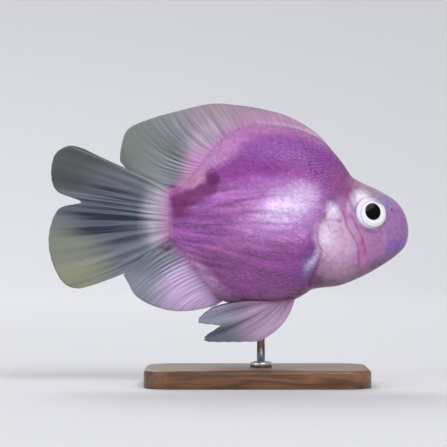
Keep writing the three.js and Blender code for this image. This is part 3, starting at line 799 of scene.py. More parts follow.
dull = add(tree, "ShaderNodeMapRange", {0: pupil_mask, 1: 0.0, 2: 1.0, 3: 0.3, 4: 0.04})
feed(tree, Base_Color=layered(tree, white, *layers), Specular_IOR_Level=dull)
print("eye:", len(tree.nodes), "nodes")

# %% Eyes
for side, word in ((1, "left"), (-1, "right")):
    eye = new_object("eyeball_" + word, eye_mesh("eyeball_" + word, side))
    eye.data.materials.append(eye_finish)
    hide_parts("eye_" + word)
    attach(eye, "root")
    tell(eye)

# %% [markdown]
# ## Geometry node helpers
#
# Fin rays follow the fins, and scales follow the skin, hundreds of times over. Python could write every
# point, but Geometry Nodes are made for repeats: the script hands a tree a few points or lines, the tree sets
# a shape on each, and the outcome is kept as a plain mesh.


# %% Geometry node helpers
def new_tree(title, inputs):
    """A geometry node tree with named inputs. Returns the tree and what its inputs give."""
    tree = bpy.data.node_groups.new(title, "GeometryNodeTree")
    for name, kind in [("Geometry", "Geometry"), *inputs]:
        tree.interface.new_socket(name, in_out="INPUT", socket_type="NodeSocket" + kind)
    tree.interface.new_socket("Geometry", in_out="OUTPUT", socket_type="NodeSocketGeometry")
    return tree, tree.nodes.new("NodeGroupInput").outputs


def grown(name, source, tree, values):
    """Runs a tree on an object, puts the outcome in its place as a new plain object, and returns that."""
    modifier = source.modifiers.new("grow", "NODES")
    modifier.node_group = tree
    for socket in tree.interface.items_tree:
        if socket.in_out == "INPUT" and socket.name in values:
            modifier[socket.identifier] = values[socket.name]
    depsgraph = bpy.context.evaluated_depsgraph_get()
    evaluated = source.evaluated_get(depsgraph)
    mesh = bpy.data.meshes.new_from_object(evaluated, preserve_all_data_layers=True, depsgraph=depsgraph)
    mesh.name = name
    source.modifiers.remove(modifier)
    bpy.data.objects.remove(source)
    return new_object(name, mesh)


print("node groups so far:", [group.name for group in bpy.data.node_groups])

# %% [markdown]
# ## Fins
#
# A fin is a thin web of skin held out by rays. The front rays of the back, anal and pelvic fins are plain
# spines; all the others split once or twice on the way out, like a fan. A flat picture of a fin would look
# right from one side only, so each web is a closed sheet about a quarter of a millimetre thick, thicker at
# its root where it grows out of the body, and a node tree lays a tapering rib along each ray.

# %% Fin outlines
ROOT_SINK = 2.6  # how deep a fin's root sits in the body
# each guide: root (behind snout, height), tip, how far it bows
DORSAL = [
    (36, (37.5, 34.4), 0), (44, (46, 44.2), 0), (55, (59, 52.3), 0), (67, (73, 56.5), 0.3),
    (79, (87, 58.6), 0.5), (89, (99, 59.2), 0.8), (96, (113, 56.2), -1), (101, (129, 51.8), -3.4),
    (105, (140.5, 46.5), -5), (109, (144, 37.6), -4.6), (117, (144.6, 30.6), -3.6),
]
ANAL = [
    (89.5, (97, -42), 0.4), (95, (109, -44.4), 1), (99, (119, -44.4), 1.6), (103, (127.5, -42.2), 2),
    (106.5, (133.5, -39.3), 2), (110, (137.6, -35.8), 1.8), (113.5, (140.4, -30.6), 1.4),
    (120, (142.8, -26.4), 1),
]
CAUDAL = [
    ((118, 16.6), (163, 36.8), -0.5), ((118, 14.6), (170, 38.2), 0.8), ((118, 12.4), (177, 34), 1),
    ((118, 9.6), (179, 24), 0.5), ((118, 6.8), (176, 15.4), 0), ((118, 4.2), (164, 10), 0),
    ((118, 1.6), (175, 6.6), 0), ((118, -1.2), (179.8, -5), 0), ((118, -4.2), (179, -18), -0.5),
    ((118, -7.2), (173.5, -29.5), -2), ((118, -8.8), (166, -33.2), -2.6), ((118, -10.2), (156, -30.6), -2.2),
]
PELVIC = [
    ((56.8, -36.5), (75.5, -59), -3.9), ((61.5, -38.5), (89, -59.4), -2.2),
    ((63.5, -39), (102.6, -58.6), -1.5), ((65.5, -39.3), (94.5, -51.8), -1),
    ((67.5, -39.5), (105.6, -49.6), 0), ((70, -39.8), (99, -43.2), 1.8),
]
PECTORAL = [
    ((46.6, -13), (75, 1.5), 1.5), ((46.8, -14.5), (84, -1.5), 1), ((47, -16), (90, -6.5), 0.5),
    ((47.3, -17.6), (94, -13), 0), ((47.8, -19.2), (94.5, -20), 0), ((48.4, -20.8), (92, -27), -0.5),
    ((49, -22.3), (86, -32.5), -1), ((49.8, -23.8), (77, -35), -1.5),
]
DORSAL = [((s, float(back(s)) - ROOT_SINK), tip, bow) for s, tip, bow in DORSAL]
ANAL = [((s, float(belly(s)) + ROOT_SINK), tip, bow) for s, tip, bow in ANAL]
pectoral_roots = np.array([float(flank(np.float64(root[0]), root[1])) for root, _, _ in PECTORAL])
print("guides:", len(DORSAL), "back,", len(ANAL), "anal,", len(CAUDAL), "tail")

# %% How fins sway
TAIL_SWAY, TAIL_PLEAT, TAIL_PLEATS = 2.2, 0.5, 7
DORSAL_SWAY, ANAL_SWAY = 2.4, 1.6
PELVIC_ROOT_Y, PELVIC_SPREAD, PELVIC_CURL = 4.6, 8.5, 1.2
PECTORAL_SPREAD, PECTORAL_CAMBER, PECTORAL_SINK = 7, 2.2, 1.2


def caudal_out(u, v):
    return TAIL_SWAY * v**2 * np.cos(4 * u + 0.4) + TAIL_PLEAT * v * np.sin(u * TAIL_PLEATS * 2 * math.pi)


def dorsal_out(u, v):
    return -DORSAL_SWAY * v**2 * np.maximum(u - 0.5, 0) * np.sin(9 * (u - 0.5))


def anal_out(u, v):
    return ANAL_SWAY * v**2 * np.sin(5 * u)


def pelvic_out(u, v):
    return PELVIC_ROOT_Y + PELVIC_SPREAD * v * (1 - 0.3 * u) + PELVIC_CURL * np.sin(3 * v) * u


def pectoral_out(u, v):
    rooted = catmull(pectoral_roots[:, None], u)[..., 0] - PECTORAL_SINK
    return rooted + PECTORAL_SPREAD * v + PECTORAL_CAMBER * np.sin(math.pi * v) * (0.4 + 0.6 * u)


Fin = namedtuple("Fin", "guides sideways root_half rays spines splits rib scallop")
# guides, sideways place, root half thickness, main rays, of them spines, splits of a ray, rib radius, scallop
FINS = {
    "dorsal_fin": Fin(DORSAL, dorsal_out, 0.7, 38, 20, 2, 0.16, 0.006),
    "anal_fin": Fin(ANAL, anal_out, 0.7, 20, 4, 2, 0.22, 0.006),
    "caudal_fin": Fin(CAUDAL, caudal_out, 1.0, 14, 0, 2, 0.24, 0.003),
    "pelvic_fin": Fin(PELVIC, pelvic_out, 0.9, 8, 1, 2, 0.28, 0.02),
    "pectoral_fin": Fin(PECTORAL, pectoral_out, 0.8, 15, 0, 1, 0.17, 0.01),
}


def fin_centre(fin, u, v):
    """Middle of a fin's thickness in millimetres of the frame, u from its front edge, v from its root."""
    root = catmull([g[0] for g in fin.guides], u)
    tip = catmull([g[1] for g in fin.guides], u)
    bow = catmull([[g[2]] for g in fin.guides], u)[..., 0]
    ray = tip - root
    across = np.stack([-ray[..., 1], ray[..., 0]], -1) / np.linalg.norm(ray, axis=-1, keepdims=True)
    at = root + v[..., None] * ray + across * (4 * v * (1 - v) * bow)[..., None]
    return place(at[..., 0], fin.sideways(u, v), at[..., 1]) / MM


print("rays:", {kind: fin.rays for kind, fin in FINS.items()})

# %% How thick a web is
TIP_HALF = 0.13  # half thickness at a web's edge
THICK_FOOT, FOOT_POWER = 0.45, 2.4  # the share of a web that its root thickens, and how fast that thins
FLARE_SHARE, FLARE_MOST, FLARE_FALL = 0.22, 2.0, 2.2  # a web's foot flares over the body and thins this fast
FLARE_SUNK = 1.3  # the flare starts this far below the body's surface
FOOT_FADE = 4.5  # the flesh's colour runs this far up a fin
STALK_ENDS = (114, 120)  # the back and anal fins let go of the stalk here
SLEEVE = (118, 121.5, 124, 134)  # the tail fin closes round the stalk, and thins again between the last two
SLEEVE_SUNK, SLEEVE_RISE = 0.8, 0.9  # it starts this far inside the stalk, and rises by this
SLEEVE_BLUSH = (117, 124)  # the flesh's colour ends here
PAIRED_BLUSH, PAIRED_FADE = 0.8, 8  # that colour at the roots of the pelvic fins, and how fast it fades


def web_half(fin, v, centre):
    """Half thickness of a web, and how much of the flesh's colour it still carries."""
    s, h = SNOUT_X - centre[..., 0], centre[..., 2] - LEVEL
    half = TIP_HALF + (fin.root_half - TIP_HALF) * np.maximum(1 - v / THICK_FOOT, 0) ** FOOT_POWER
    if fin.guides is CAUDAL:
        start, full, thinning, end = SLEEVE
        sleeve = flank(np.minimum(s, FLESH_LENGTH), h) - SLEEVE_SUNK + SLEEVE_RISE * fade(s, start, full)
        return np.maximum(half, sleeve * (1 - fade(s, thinning, end))), 1 - fade(s, *SLEEVE_BLUSH)
    if fin.guides is DORSAL or fin.guides is ANAL:
        above = h - back(s) if fin.guides is DORSAL else belly(s) - h
        rooted = 1 - fade(s, *STALK_ENDS)
        flare = np.minimum(FLARE_SHARE * half_width(s), FLARE_MOST) * rooted
        half = half + flare * np.exp(-np.maximum(above + FLARE_SUNK, 0) / FLARE_FALL)
        return half, np.exp(-np.maximum(above, 0) / FOOT_FADE) * rooted
    return half, PAIRED_BLUSH * np.exp(-v * PAIRED_FADE)


print("webs:", 2 * TIP_HALF, "mm thick towards their edge")


# %% Where rays show
SPLIT_FIRST, SPLIT_STEP = 0.35, 0.25  # how far out rays first split, and from one split to the next
STREAK_REACH, STREAK_STRENGTH = (0, 0.12, 0.4, 0.75, 1), (0.1, 0.32, 0.30, 0.24, 0.16)
STREAKS_PER_RAY, STREAKS_ALONG = 1.9, 1.1
SPINE_STREAKS = 0.45  # streaks keep this share of their strength between spines
# spots in the side view: middle (behind snout, height), radii
CALM_SPOTS = [((172, -18), (17, 20)), ((142, 38), (15, 17))]  # thick ends of fins, hardly streaked
CALM_MOST = 0.9  # the share of the streaks that a calm spot takes away
GAP_SPOT = ((152, 4), (18, 12))  # where the dark shows between the tail's rays
GAP_FROM, GAP_TO = 0.2, 0.7  # a gap opens between these shares of the way from a ray to midway between two
# where pale rays and dark gaps stand out most, and how strongly
RIPPLE_SPOTS = [
    ((118, 29), (6, 9), 0.4), ((124, -25), (12, 9), 0.5), ((146, -19), (12, 8), 0.4),
    ((142, 8), (12, 14), 0.3),
]


def wave(u, count):
    """1 on each of a number of rays, 0 midway between two."""
    return 0.5 + 0.5 * np.cos(2 * math.pi * (u * count - 0.5))


def ray_share(fin, u, v):
    """1 on a ray, 0 midway between two, for a web whose rays split on the way out."""
    share = wave(u, fin.rays)
    for level in range(fin.splits):
        start = SPLIT_FIRST + SPLIT_STEP * level
        grown_in = fade(v, start, start + SPLIT_STEP) * (u * fin.rays >= fin.spines)
        share = share * (1 - grown_in) + wave(u, fin.rays * 2 ** (level + 1)) * grown_in
    return share


def near(s, h, middle, radii):
    """1 at a spot in the side view, fading smoothly around it."""
    return np.exp(-(((s - middle[0]) / radii[0]) ** 2) - ((h - middle[1]) / radii[1]) ** 2)


def streak_values(fin, u, v, share, centre):
    """What the fin finish reads at each point: streak noise place, and how strongly rays and gaps show."""
    s, h = SNOUT_X - centre[..., 0], centre[..., 2] - LEVEL
    branched = SPINE_STREAKS + (1 - SPINE_STREAKS) * fade(u * fin.rays, fin.spines - 5, fin.spines + 1)
    ripple = sum(strength * near(s, h, middle, radii) for middle, radii, strength in RIPPLE_SPOTS)
    calm = np.maximum(*[near(s, h, *spot) for spot in CALM_SPOTS])
    return {
        "across": u * fin.rays * STREAKS_PER_RAY,
        "reach_out": v * STREAKS_ALONG + fin.rays,
        "contrast": np.interp(v, STREAK_REACH, STREAK_STRENGTH) * branched * (1 - CALM_MOST * calm),
        "ripple": ripple * (2 * share - 1),
        "gap": near(s, h, *GAP_SPOT) * fade(1 - wave(u, fin.rays), GAP_FROM, GAP_TO),
        "foot": web_half(fin, v, centre)[1],
    }


tips = {kind: fin.spines + (fin.rays - fin.spines) * 2**fin.splits for kind, fin in FINS.items()}
print("rays at the tips:", tips)


# %% Webs
WEB_STEPS, WEB_CROWDING = 56, 1.5  # steps from root to tip, closer at the root
COLUMNS_PER_RAY = 6
EDGE_THICK = 0.35  # what is left of a web's thickness at its very edge
WEB_RAY = 0.55  # a ray shows this much in the web beside its rib


def closed_sheet(name, upper, lower, values=None):
    """A closed sheet from two grids of points, with its faces turned outwards."""
    rows, columns = upper.shape[:2]
    count = rows * columns
    border = [(r, 0) for r in range(rows)] + [(rows - 1, c) for c in range(1, columns)]
    border += [(r, columns - 1) for r in range(rows - 2, -1, -1)]
    border += [(0, c) for c in range(columns - 2, 0, -1)]
    ring = [r * columns + c for r, c in border]
    faces = list(grid_faces(rows, columns)) + list(grid_faces(rows, columns)[:, ::-1] + count)
    faces += [(a, b, b + count, a + count) for a, b in zip(ring, ring[1:] + ring[:1])]
    mesh = new_mesh(name, np.concatenate([upper.reshape(-1, 3), lower.reshape(-1, 3)]), faces, values=values)
    if volume(mesh) < 0:
        mesh.flip_normals()
    return mesh


def web_mesh(fin, mirror):
    steps = np.linspace(0, 1, WEB_STEPS) ** WEB_CROWDING
    u, v = np.meshgrid(np.linspace(0, 1, fin.rays * COLUMNS_PER_RAY + 1), steps, indexing="ij")
    share = ray_share(fin, u, v)
    centre = fin_centre(fin, u, v * (1 - fin.scallop * (1 - share) * fade(v, 0.7, 1)))
    normal = np.cross(np.gradient(centre, axis=1), np.gradient(centre, axis=0))
    normal /= np.maximum(np.linalg.norm(normal, axis=-1, keepdims=True), 1e-9)
    # a web thins over its last hundredths at the tip, in front and behind
    edges = np.minimum(fade(v, 1.06, 0.97), np.minimum(fade(u, -0.004, 0.01), fade(u, 1.004, 0.99)))
    thick = normal * (web_half(fin, v, centre)[0] * (EDGE_THICK + (1 - EDGE_THICK) * edges))[..., None]
    values = {"ray": share * WEB_RAY, **streak_values(fin, u, v, share, centre)}
    values = {title: np.tile(value.ravel(), 2) for title, value in values.items()}
    return closed_sheet("web", (centre + thick) * mirror * MM, (centre - thick) * mirror * MM, values)


print("web points:", {kind: 2 * WEB_STEPS * (fin.rays * COLUMNS_PER_RAY + 1) for kind, fin in FINS.items()})


# %% Rays
RIB_STEPS = 22
RIB_END, RIB_TIP = 0.985, 0.35  # ribs stop this far out; a spine thins to this share of its radius
BRANCH_SHARE, BRANCH_TAPER, BRANCH_TIP = 0.72, 0.9, 0.5


def ray_lines(fin, mirror):
    """Polylines along the rays, each with its radius, splitting into branches on the way out."""
    points, edges, values = [], [], []

    def run(u, v, radius, taper):
        centre = fin_centre(fin, u, v)
        edges.extend((len(points) + i, len(points) + i + 1) for i in range(len(v) - 1))
        points.extend((centre * mirror * MM).tolist())
        radius = MM * (radius + (radius * taper - radius) * np.linspace(0, 1, len(v)))
        whole = np.ones_like(v)
        values.append({"radius": radius, "ray": whole, **streak_values(fin, u, v, whole, centre)})

    splits = [SPLIT_FIRST + SPLIT_STEP * level for level in range(fin.splits)]
    for k in range(fin.rays):
        middle = (k + 0.5) / fin.rays
        if k < fin.spines:
            v = np.linspace(0, RIB_END, RIB_STEPS)
            run(np.full_like(v, middle), v, fin.rib, RIB_TIP)
            continue
        stems = [(middle, 0)]
        for level, (start, end) in enumerate(zip([0, *splits], [*splits, RIB_END])):
            v = np.linspace(start, end, RIB_STEPS // 2)
            taper = BRANCH_TAPER if level < fin.splits else BRANCH_TIP
            branches = []
            for at, lean in stems:
                aim = at + lean / (fin.rays * 2 ** (level + 1))
                u = at + (aim - at) * fade(v, start, start + SPLIT_STEP)
                run(u, v, fin.rib * BRANCH_SHARE**level, taper)
                branches += [(aim, -1), (aim, 1)]
            stems = branches
    values = {title: np.concatenate([part[title] for part in values]) for title in values[0]}
    return new_mesh("lines", points, edges=edges, values=values)


def ray_tree():
    """Lays a tube along each line and joins the tubes to the web."""
    inputs = [("Lines", "Object"), ("Sides", "Int"), ("Web finish", "Material"), ("Ray finish", "Material")]
    tree, given = new_tree("fin rays", inputs)
    lines = add(tree, "GeometryNodeObjectInfo", {"Object": given["Lines"]}, "Geometry")
    curve = add(tree, "GeometryNodeMeshToCurve", {0: lines})
    ring = add(tree, "GeometryNodeCurvePrimitiveCircle", {0: given["Sides"], "Radius": 1.0})
    radius = add(tree, "GeometryNodeInputNamedAttribute", {"Name": "radius"}, data_type="FLOAT")
    tubes = add(tree, "GeometryNodeCurveToMesh", {0: curve, 1: ring, "Scale": radius, "Fill Caps": True})
    smooth = add(tree, "GeometryNodeSetShadeSmooth", {0: tubes})
    ribs = add(tree, "GeometryNodeSetMaterial", {0: smooth, "Material": given["Ray finish"]})
    web = add(tree, "GeometryNodeSetMaterial", {0: given["Geometry"], "Material": given["Web finish"]})
    both = add(tree, "GeometryNodeJoinGeometry", {0: ribs})
    tree.links.new(web, both.node.inputs[0])
    add(tree, "NodeGroupOutput", {0: add(tree, "GeometryNodeRealizeInstances", {0: both})})
    return tree


RAY_TREE = ray_tree()
print("ray tree:", len(RAY_TREE.nodes), "nodes")

# %% [markdown]
# ## Fin finishes
#
# Between its bony rays a fin is skin stretched so thin that the dark behind it shows. True see-through webs
# would let the floor show instead, so rays are painted pale and the web between them darker. One noise, drawn
# out along the rays, breaks both up, and attributes say where it is strong.

# %% Fin finishes
RAY_PALE, FOOT_SHADE = 0.10, 0.90

# Fin web: thin wet skin over bony rays gives the eye fine pale and dark streaks under a soft gloss
fin_finish, tree = new_material(
    "wet fin web", Roughness=0.36, IOR=1.4, Subsurface_Weight=0.10, Subsurface_Scale=0.001, Coat_Weight=0.12,
    Coat_Roughness=0.2,
)
ray, across, reach_out, contrast, ripple, gap, foot = [
    add(tree, "ShaderNodeAttribute", out="Fac", attribute_name=title)
    for title in ("ray", "across", "reach_out", "contrast", "ripple", "gap", "foot")
]
along_rays = add(tree, "ShaderNodeCombineXYZ", {0: across, 1: reach_out})
bundle = {"Vector": along_rays, "Scale": 1.0, "Detail": 2.5, "Distortion": 0.3}
bundle = add(tree, "ShaderNodeTexNoise", bundle)
spread = add(tree, "ShaderNodeMapRange", {0: bundle, 1: 0.32, 2: 0.68, 3: -1.0, 4: 1.0})
rippled = add(tree, "ShaderNodeMath", {0: ripple, 1: 1.0}, operation="ADD")
swing = add(tree, "ShaderNodeMath", {0: spread, 1: contrast, 2: rippled}, operation="MULTIPLY_ADD")
fins_own = add(tree, "ShaderNodeGroup", node_tree=FIN_COLOURS)
paint = layered(tree, fins_own, (foot, add(tree, "ShaderNodeGroup", node_tree=FLESH_COLOURS)))
paler = add(tree, "ShaderNodeMapRange", {0: ray, 1: 0.0, 2: 1.0, 3: 0.90, 4: 1.06})
shaded = add(tree, "ShaderNodeMapRange", {0: foot, 1: 0.0, 2: 1.0, 3: 1.0, 4: FOOT_SHADE})
paint = times(tree, paint, paler, shaded, swing)
lit = add(tree, "ShaderNodeMath", {0: spread, 1: contrast}, operation="MULTIPLY")
lit = add(tree, "ShaderNodeMapRange", {0: lit, 1: 0.2, 2: 0.7, 3: 0.0, 4: 0.45})
ragged = add(tree, "ShaderNodeMapRange", {0: bundle, 1: 0.38, 2: 0.62, 3: 2.4, 4: 0.2})
open_gap = add(tree, "ShaderNodeMath", {0: gap, 1: ragged}, operation="MULTIPLY", use_clamp=True)
pale = add(tree, "ShaderNodeMapRange", {0: ray, 1: 0.5, 2: 1.0, 3: 0.0, 4: RAY_PALE})
layers = [(lit, colour("#B4BCCB")), (open_gap, colour("#1A2538")), (pale, colour("#B9BAC6"))]
paint = layered(tree, paint, *layers)
feed(tree, Base_Color=paint, Normal=add(tree, "ShaderNodeBump", {"Height": swing, "Distance": 0.12 * MM}))

# The pectoral fin's web is clear as wet film: only its rays show against the flank
film_finish, _ = new_material(
    "clear fin film", Base_Color=colour("#9C5CA0"), Alpha=0.03, Roughness=0.3, IOR=1.36,
    Specular_IOR_Level=0.1,
)
film_ray_finish, _ = new_material(
    "clear fin ray", Base_Color=colour("#B072B4"), Alpha=0.3, Roughness=0.4, IOR=1.45, Specular_IOR_Level=0.1,
)
print("fin web:", len(tree.nodes), "nodes")

# %% Fins
LEFT, RIGHT = (1, 1, 1), (1, -1, 1)
RIB_SIDES = 6
FIN_PIECES = [
    ("dorsal_fin", "dorsal_fin", LEFT), ("anal_fin", "anal_fin", LEFT), ("caudal_fin", "caudal_fin", LEFT),
    ("pelvic_fin_left", "pelvic_fin", LEFT), ("pelvic_fin_right", "pelvic_fin", RIGHT),
    ("pectoral_fin_left", "pectoral_fin", LEFT), ("pectoral_fin_right", "pectoral_fin", RIGHT),
]
for node, kind, mirror in FIN_PIECES:
    web = new_object("web", web_mesh(FINS[kind], mirror))
    lines = new_object("lines", ray_lines(FINS[kind], mirror))
    clear = kind == "pectoral_fin"
    values = {"Lines": lines, "Sides": RIB_SIDES, "Web finish": film_finish if clear else fin_finish,
              "Ray finish": film_ray_finish if clear else fin_finish}
    fin = grown(node + "_webbed", web, RAY_TREE, values)
    bpy.data.objects.remove(lines)
    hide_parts(node)
    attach(fin, "root")
    tell(fin)

# %% [markdown]
# ## Scales
#
# The scales are thin round-ended plates that overlap like roof tiles, all pointing to the tail. They start
# behind the gill cover and on the nape, where they are smallest. Hair or instances would be lost on the way
# out of Blender, so each is a closed plate of a few dozen faces. A lattice over the skin says where each
# grows and which way it lies, and a node tree sets a plate there, a little tilted and uneven, as real ones
# are.

# %% Where scales grow
ROW_PITCH = [(28, 1.05), (38, 1.5), (50, 1.95), (90, 2.05), (106, 1.6), (126, 1.1)]  # rows at distances
COLUMN_SHARE = 0.56  # of the row pitch, from one column to the next
# distance and height of the first scales
COAT_START = [
    (51, -40), (50, -30), (46.6, -20.5), (45, -14.3), (46.8, -8), (46.8, -3), (43.5, 2.5), (38.5, 9.5),
    (34, 15), (30.5, 21), (29, 26), (29, 60),
]
COAT_END = 121.5
EDGE_SHARE, EDGE_REACH = 0.7, 7  # scales shrink to this share at the back and belly, from this far away
YOUNG_SHARE, YOUNG_REACH = 0.6, 5  # and to this share at the start of the coat
ROW_MARGIN = 0.2  # no row is closer than this to the middle of the back or belly
GIRTH_STEPS = 161  # steps round one side when distances are looked up

girth_angle = np.linspace(-math.pi / 2, math.pi / 2, GIRTH_STEPS)


def skin_at(s, angle):
    """Points and outward directions on the finished left skin, in millimetres."""
    row = np.interp(s, station_s, np.arange(STATIONS))
    column = (angle + math.pi / 2) / (2 * math.pi) * AROUND
    r, c = np.minimum(row.astype(int), STATIONS - 2), column.astype(int)
    fr, fc = (row - r)[..., None], (column - c)[..., None]
    found = []
    for grid in (skin_grid, outward):
        ahead = grid[r, c % AROUND] * (1 - fc) + grid[r, (c + 1) % AROUND] * fc
        behind = grid[r + 1, c % AROUND] * (1 - fc) + grid[r + 1, (c + 1) % AROUND] * fc
        found.append(ahead * (1 - fr) + behind * fr)
    return found


def girth_table(s):
    """How far each angle on one side of the body is round it from the middle of the flank."""
    points = skin_at(np.full(GIRTH_STEPS, float(s)), girth_angle)[0]
    steps = np.concatenate([[0], np.cumsum(np.linalg.norm(np.diff(points, axis=0), axis=1))])
    return steps - np.interp(0, girth_angle, steps)


def scale_lattice():
    """Distance behind the snout, angle, angle a millimetre on, and pitch of every scale on one side."""
    found = []
    s, k = COAT_START[-1][0] - 1.0, 0
    start_s, start_h = zip(*COAT_START)
    while s < COAT_END:
        pitch = float(np.interp(s, *zip(*ROW_PITCH)))
        girth = girth_table(s)
        first = math.ceil(girth[0] / pitch)
        rows = (np.arange(first, int(girth[-1] / pitch) + 1) + 0.5 * (k % 2)) * pitch
        rows = rows[(rows > girth[0] + ROW_MARGIN) & (rows < girth[-1] - ROW_MARGIN)]
        angle = np.interp(rows, girth, girth_angle)
        onward = np.interp(rows, girth_table(min(s + 1, COAT_END)), girth_angle)
        station = np.full(len(rows), s)
        begun = s - np.interp(body_point(station, angle, COAT_DEPTH)[2], start_h, start_s)
        near_edge = fade(np.minimum(rows - girth[0], girth[-1] - rows), 0, EDGE_REACH)
        size = pitch * (EDGE_SHARE + (1 - EDGE_SHARE) * near_edge)
        size = size * (YOUNG_SHARE + (1 - YOUNG_SHARE) * fade(begun, 0, YOUNG_REACH))
        found.append(np.stack([station, angle, onward, size], -1)[begun > 0])
        s += pitch * COLUMN_SHARE
        k += 1
    return np.concatenate(found)


lattice = scale_lattice()
print("scales on one side:", len(lattice))

# %% One scale
# along the plate: place, half width, thickness
PLATE_ROWS = [(0.0, 0.36, 0.070), (0.45, 0.5, 0.070), (0.78, 0.42, 0.056), (1.0, 0.2, 0.028)]
PLATE_ACROSS = (-1.0, -0.5, 0.0, 0.5, 1.0)
PLATE_CAMBER, PLATE_NOSE = 0.025, 0.06  # how far its middle stands up, and its round end reaches out


def scale_plate():
    """One scale, a unit long from its root along X, a unit wide along Y, closed all round."""
    shape, across = np.array(PLATE_ROWS)[:, :, None], np.array(PLATE_ACROSS)
    along, half, thin = (shape[:, i] + 0 * across for i in range(3))
    hump = 1 - across**2 + 0 * along
    top = np.stack([along + PLATE_NOSE * hump * (along == 1.0), half * across, PLATE_CAMBER * hump], -1)
    under = top - np.stack([0 * thin, 0 * thin, thin], -1)
    values = {"tip": np.tile(top[..., 0].ravel(), 2), "rib": np.tile(top[..., 1].ravel(), 2)}
    return closed_sheet("plate", top, under, values)


plate = new_object("plate", scale_plate())
print("one scale:", len(plate.data.polygons), "faces")

# %% Scale tree
TINT_LOW, TINT_HIGH = 0.0, 1.0


def scale_tree():
    """Sets an uneven plate on each point and gives each its own patch of the coat's UV map."""
    inputs = [
        ("Plate", "Object"), ("Tilt", "Float"), ("Unevenness", "Float"), ("Patch", "Float"), ("Seed", "Int"),
        ("Finish", "Material"),
    ]
    tree, given = new_tree("scales", inputs)
    lie, out, size, root = [
        add(tree, "GeometryNodeInputNamedAttribute", {"Name": title}, data_type="FLOAT_VECTOR")
        for title in ("lie", "out", "size", "root")
    ]
    tip, rib = [
        add(tree, "GeometryNodeInputNamedAttribute", {"Name": title}, data_type="FLOAT")
        for title in ("tip", "rib")
    ]
    flat = add(tree, "FunctionNodeAxesToRotation", {0: lie, 1: out}, primary_axis="X", secondary_axis="Z")
    limits = {0: (-1, -1, -1), 1: (1, 1, 1), "Seed": given["Seed"]}
    uneven = add(tree, "FunctionNodeRandomValue", limits, data_type="FLOAT_VECTOR")
    uneven = add(tree, "ShaderNodeVectorMath", {0: uneven, "Scale": given["Unevenness"]}, operation="SCALE")
    tilt = add(tree, "ShaderNodeCombineXYZ", {1: given["Tilt"]})
    turn = add(tree, "ShaderNodeVectorMath", {0: uneven, 1: tilt}, operation="ADD")
    turn = add(tree, "FunctionNodeEulerToRotation", {0: turn})
    lying = add(tree, "FunctionNodeRotateRotation", {0: flat, 1: turn}, rotation_space="LOCAL")
    tint = {2: TINT_LOW, 3: TINT_HIGH, "Seed": given["Seed"]}
    tint = {"Name": "tint", "Value": add(tree, "FunctionNodeRandomValue", tint, data_type="FLOAT")}
    tinted = {0: given["Geometry"], **tint}
    tinted = add(tree, "GeometryNodeStoreNamedAttribute", tinted, domain="POINT")
    plate = add(tree, "GeometryNodeObjectInfo", {"Object": given["Plate"]}, "Geometry")
    coat = {0: tinted, "Instance": plate, "Rotation": lying, "Scale": size}
    coat = add(tree, "GeometryNodeRealizeInstances", {0: add(tree, "GeometryNodeInstanceOnPoints", coat)})
    on_plate = add(tree, "ShaderNodeCombineXYZ", {0: tip, 1: rib})
    patch = add(tree, "ShaderNodeVectorMath", {0: on_plate, "Scale": given["Patch"]}, operation="SCALE")
    spot = add(tree, "ShaderNodeVectorMath", {0: patch, 1: root}, operation="ADD")
    mapped = {0: coat, "Name": "OFBake", "Value": spot}
    mapped = add(tree, "GeometryNodeStoreNamedAttribute", mapped, data_type="FLOAT2", domain="CORNER")
    done = add(tree, "GeometryNodeSetMaterial", {0: mapped, "Material": given["Finish"]})
    add(tree, "NodeGroupOutput", {0: done})
    return tree


SCALE_TREE = scale_tree()
print("scale tree:", len(SCALE_TREE.nodes), "nodes")

# %% [markdown]
# ## Scale finish
#
# A fish scale is a clear bony plate over dyed skin. A clear shader on thousands of plates would be slow and
# would not bake, so each plate carries the skin's colour instead, with a paler rim and a tint of its own.

# %% Scale finish
# Fish scale: a glossy clear plate gives the eye the skin's colour, a paler rim and its own small glint
scale_finish, tree = new_material(
    "wet fish scale", IOR=1.42, Subsurface_Weight=0.06, Subsurface_Scale=0.001, Coat_Weight=0.07,
    Coat_Roughness=0.14, Specular_IOR_Level=0.22,
)
tip, tint = [add(tree, "ShaderNodeAttribute", out="Fac", attribute_name=title) for title in ("tip", "tint")]
paint = add(tree, "ShaderNodeGroup", node_tree=FLESH_COLOURS)
rim = add(tree, "ShaderNodeMapRange", {0: tip, 1: 0.45, 2: 1.0, 3: 0.94, 4: 1.07})
own = add(tree, "ShaderNodeMapRange", {0: tint, 1: TINT_LOW, 2: TINT_HIGH, 3: 0.89, 4: 1.12})
paint = times(tree, paint, rim, own, noise_value(tree, 2.2, 0.93, 1.07))
feed(tree, Base_Color=paint, Roughness=noise_value(tree, 2.5, 0.22, 0.40))
print("scale:", len(tree.nodes), "nodes")

# %% Scales
SCALE_LENGTH, SCALE_WIDTH = 1.45, 1.16  # times the row pitch
SCALE_LIFT = 0.04  # how far a scale's root stands off the skin
SCALE_TILT, SCALE_UNEVEN = math.radians(-2.2), math.radians(2.2)
UV_PATCH, UV_LENGTH = 0.003, 0.99
SCALE_SEED = 11
COAT_PARTS = [("front", 28, 62), ("middle", 62, 88), ("rear", 88, 127)]


def scale_points(spots, side):
    """The points that scales grow from, on one side, with the attributes that the tree reads."""
    s, angle, onward, size = spots.T
    flip = np.array([1, side, 1])
    at, out = skin_at(s, angle)
    following = skin_at(np.minimum(s + 1, FLESH_LENGTH), onward)[0]
    u = (angle + math.pi / 2) / (2 * math.pi)
    values = {
        "lie": (following - at) * flip,
        "out": out * flip,
        "size": np.stack([size * SCALE_LENGTH, size * SCALE_WIDTH, np.ones_like(size)], -1) * MM,
        "root": np.stack([u if side > 0 else 1 - u, s / FLESH_LENGTH * UV_LENGTH, 0 * s], -1),
    }
    return new_mesh("roots", (at + out * SCALE_LIFT) * flip * MM, values=values)


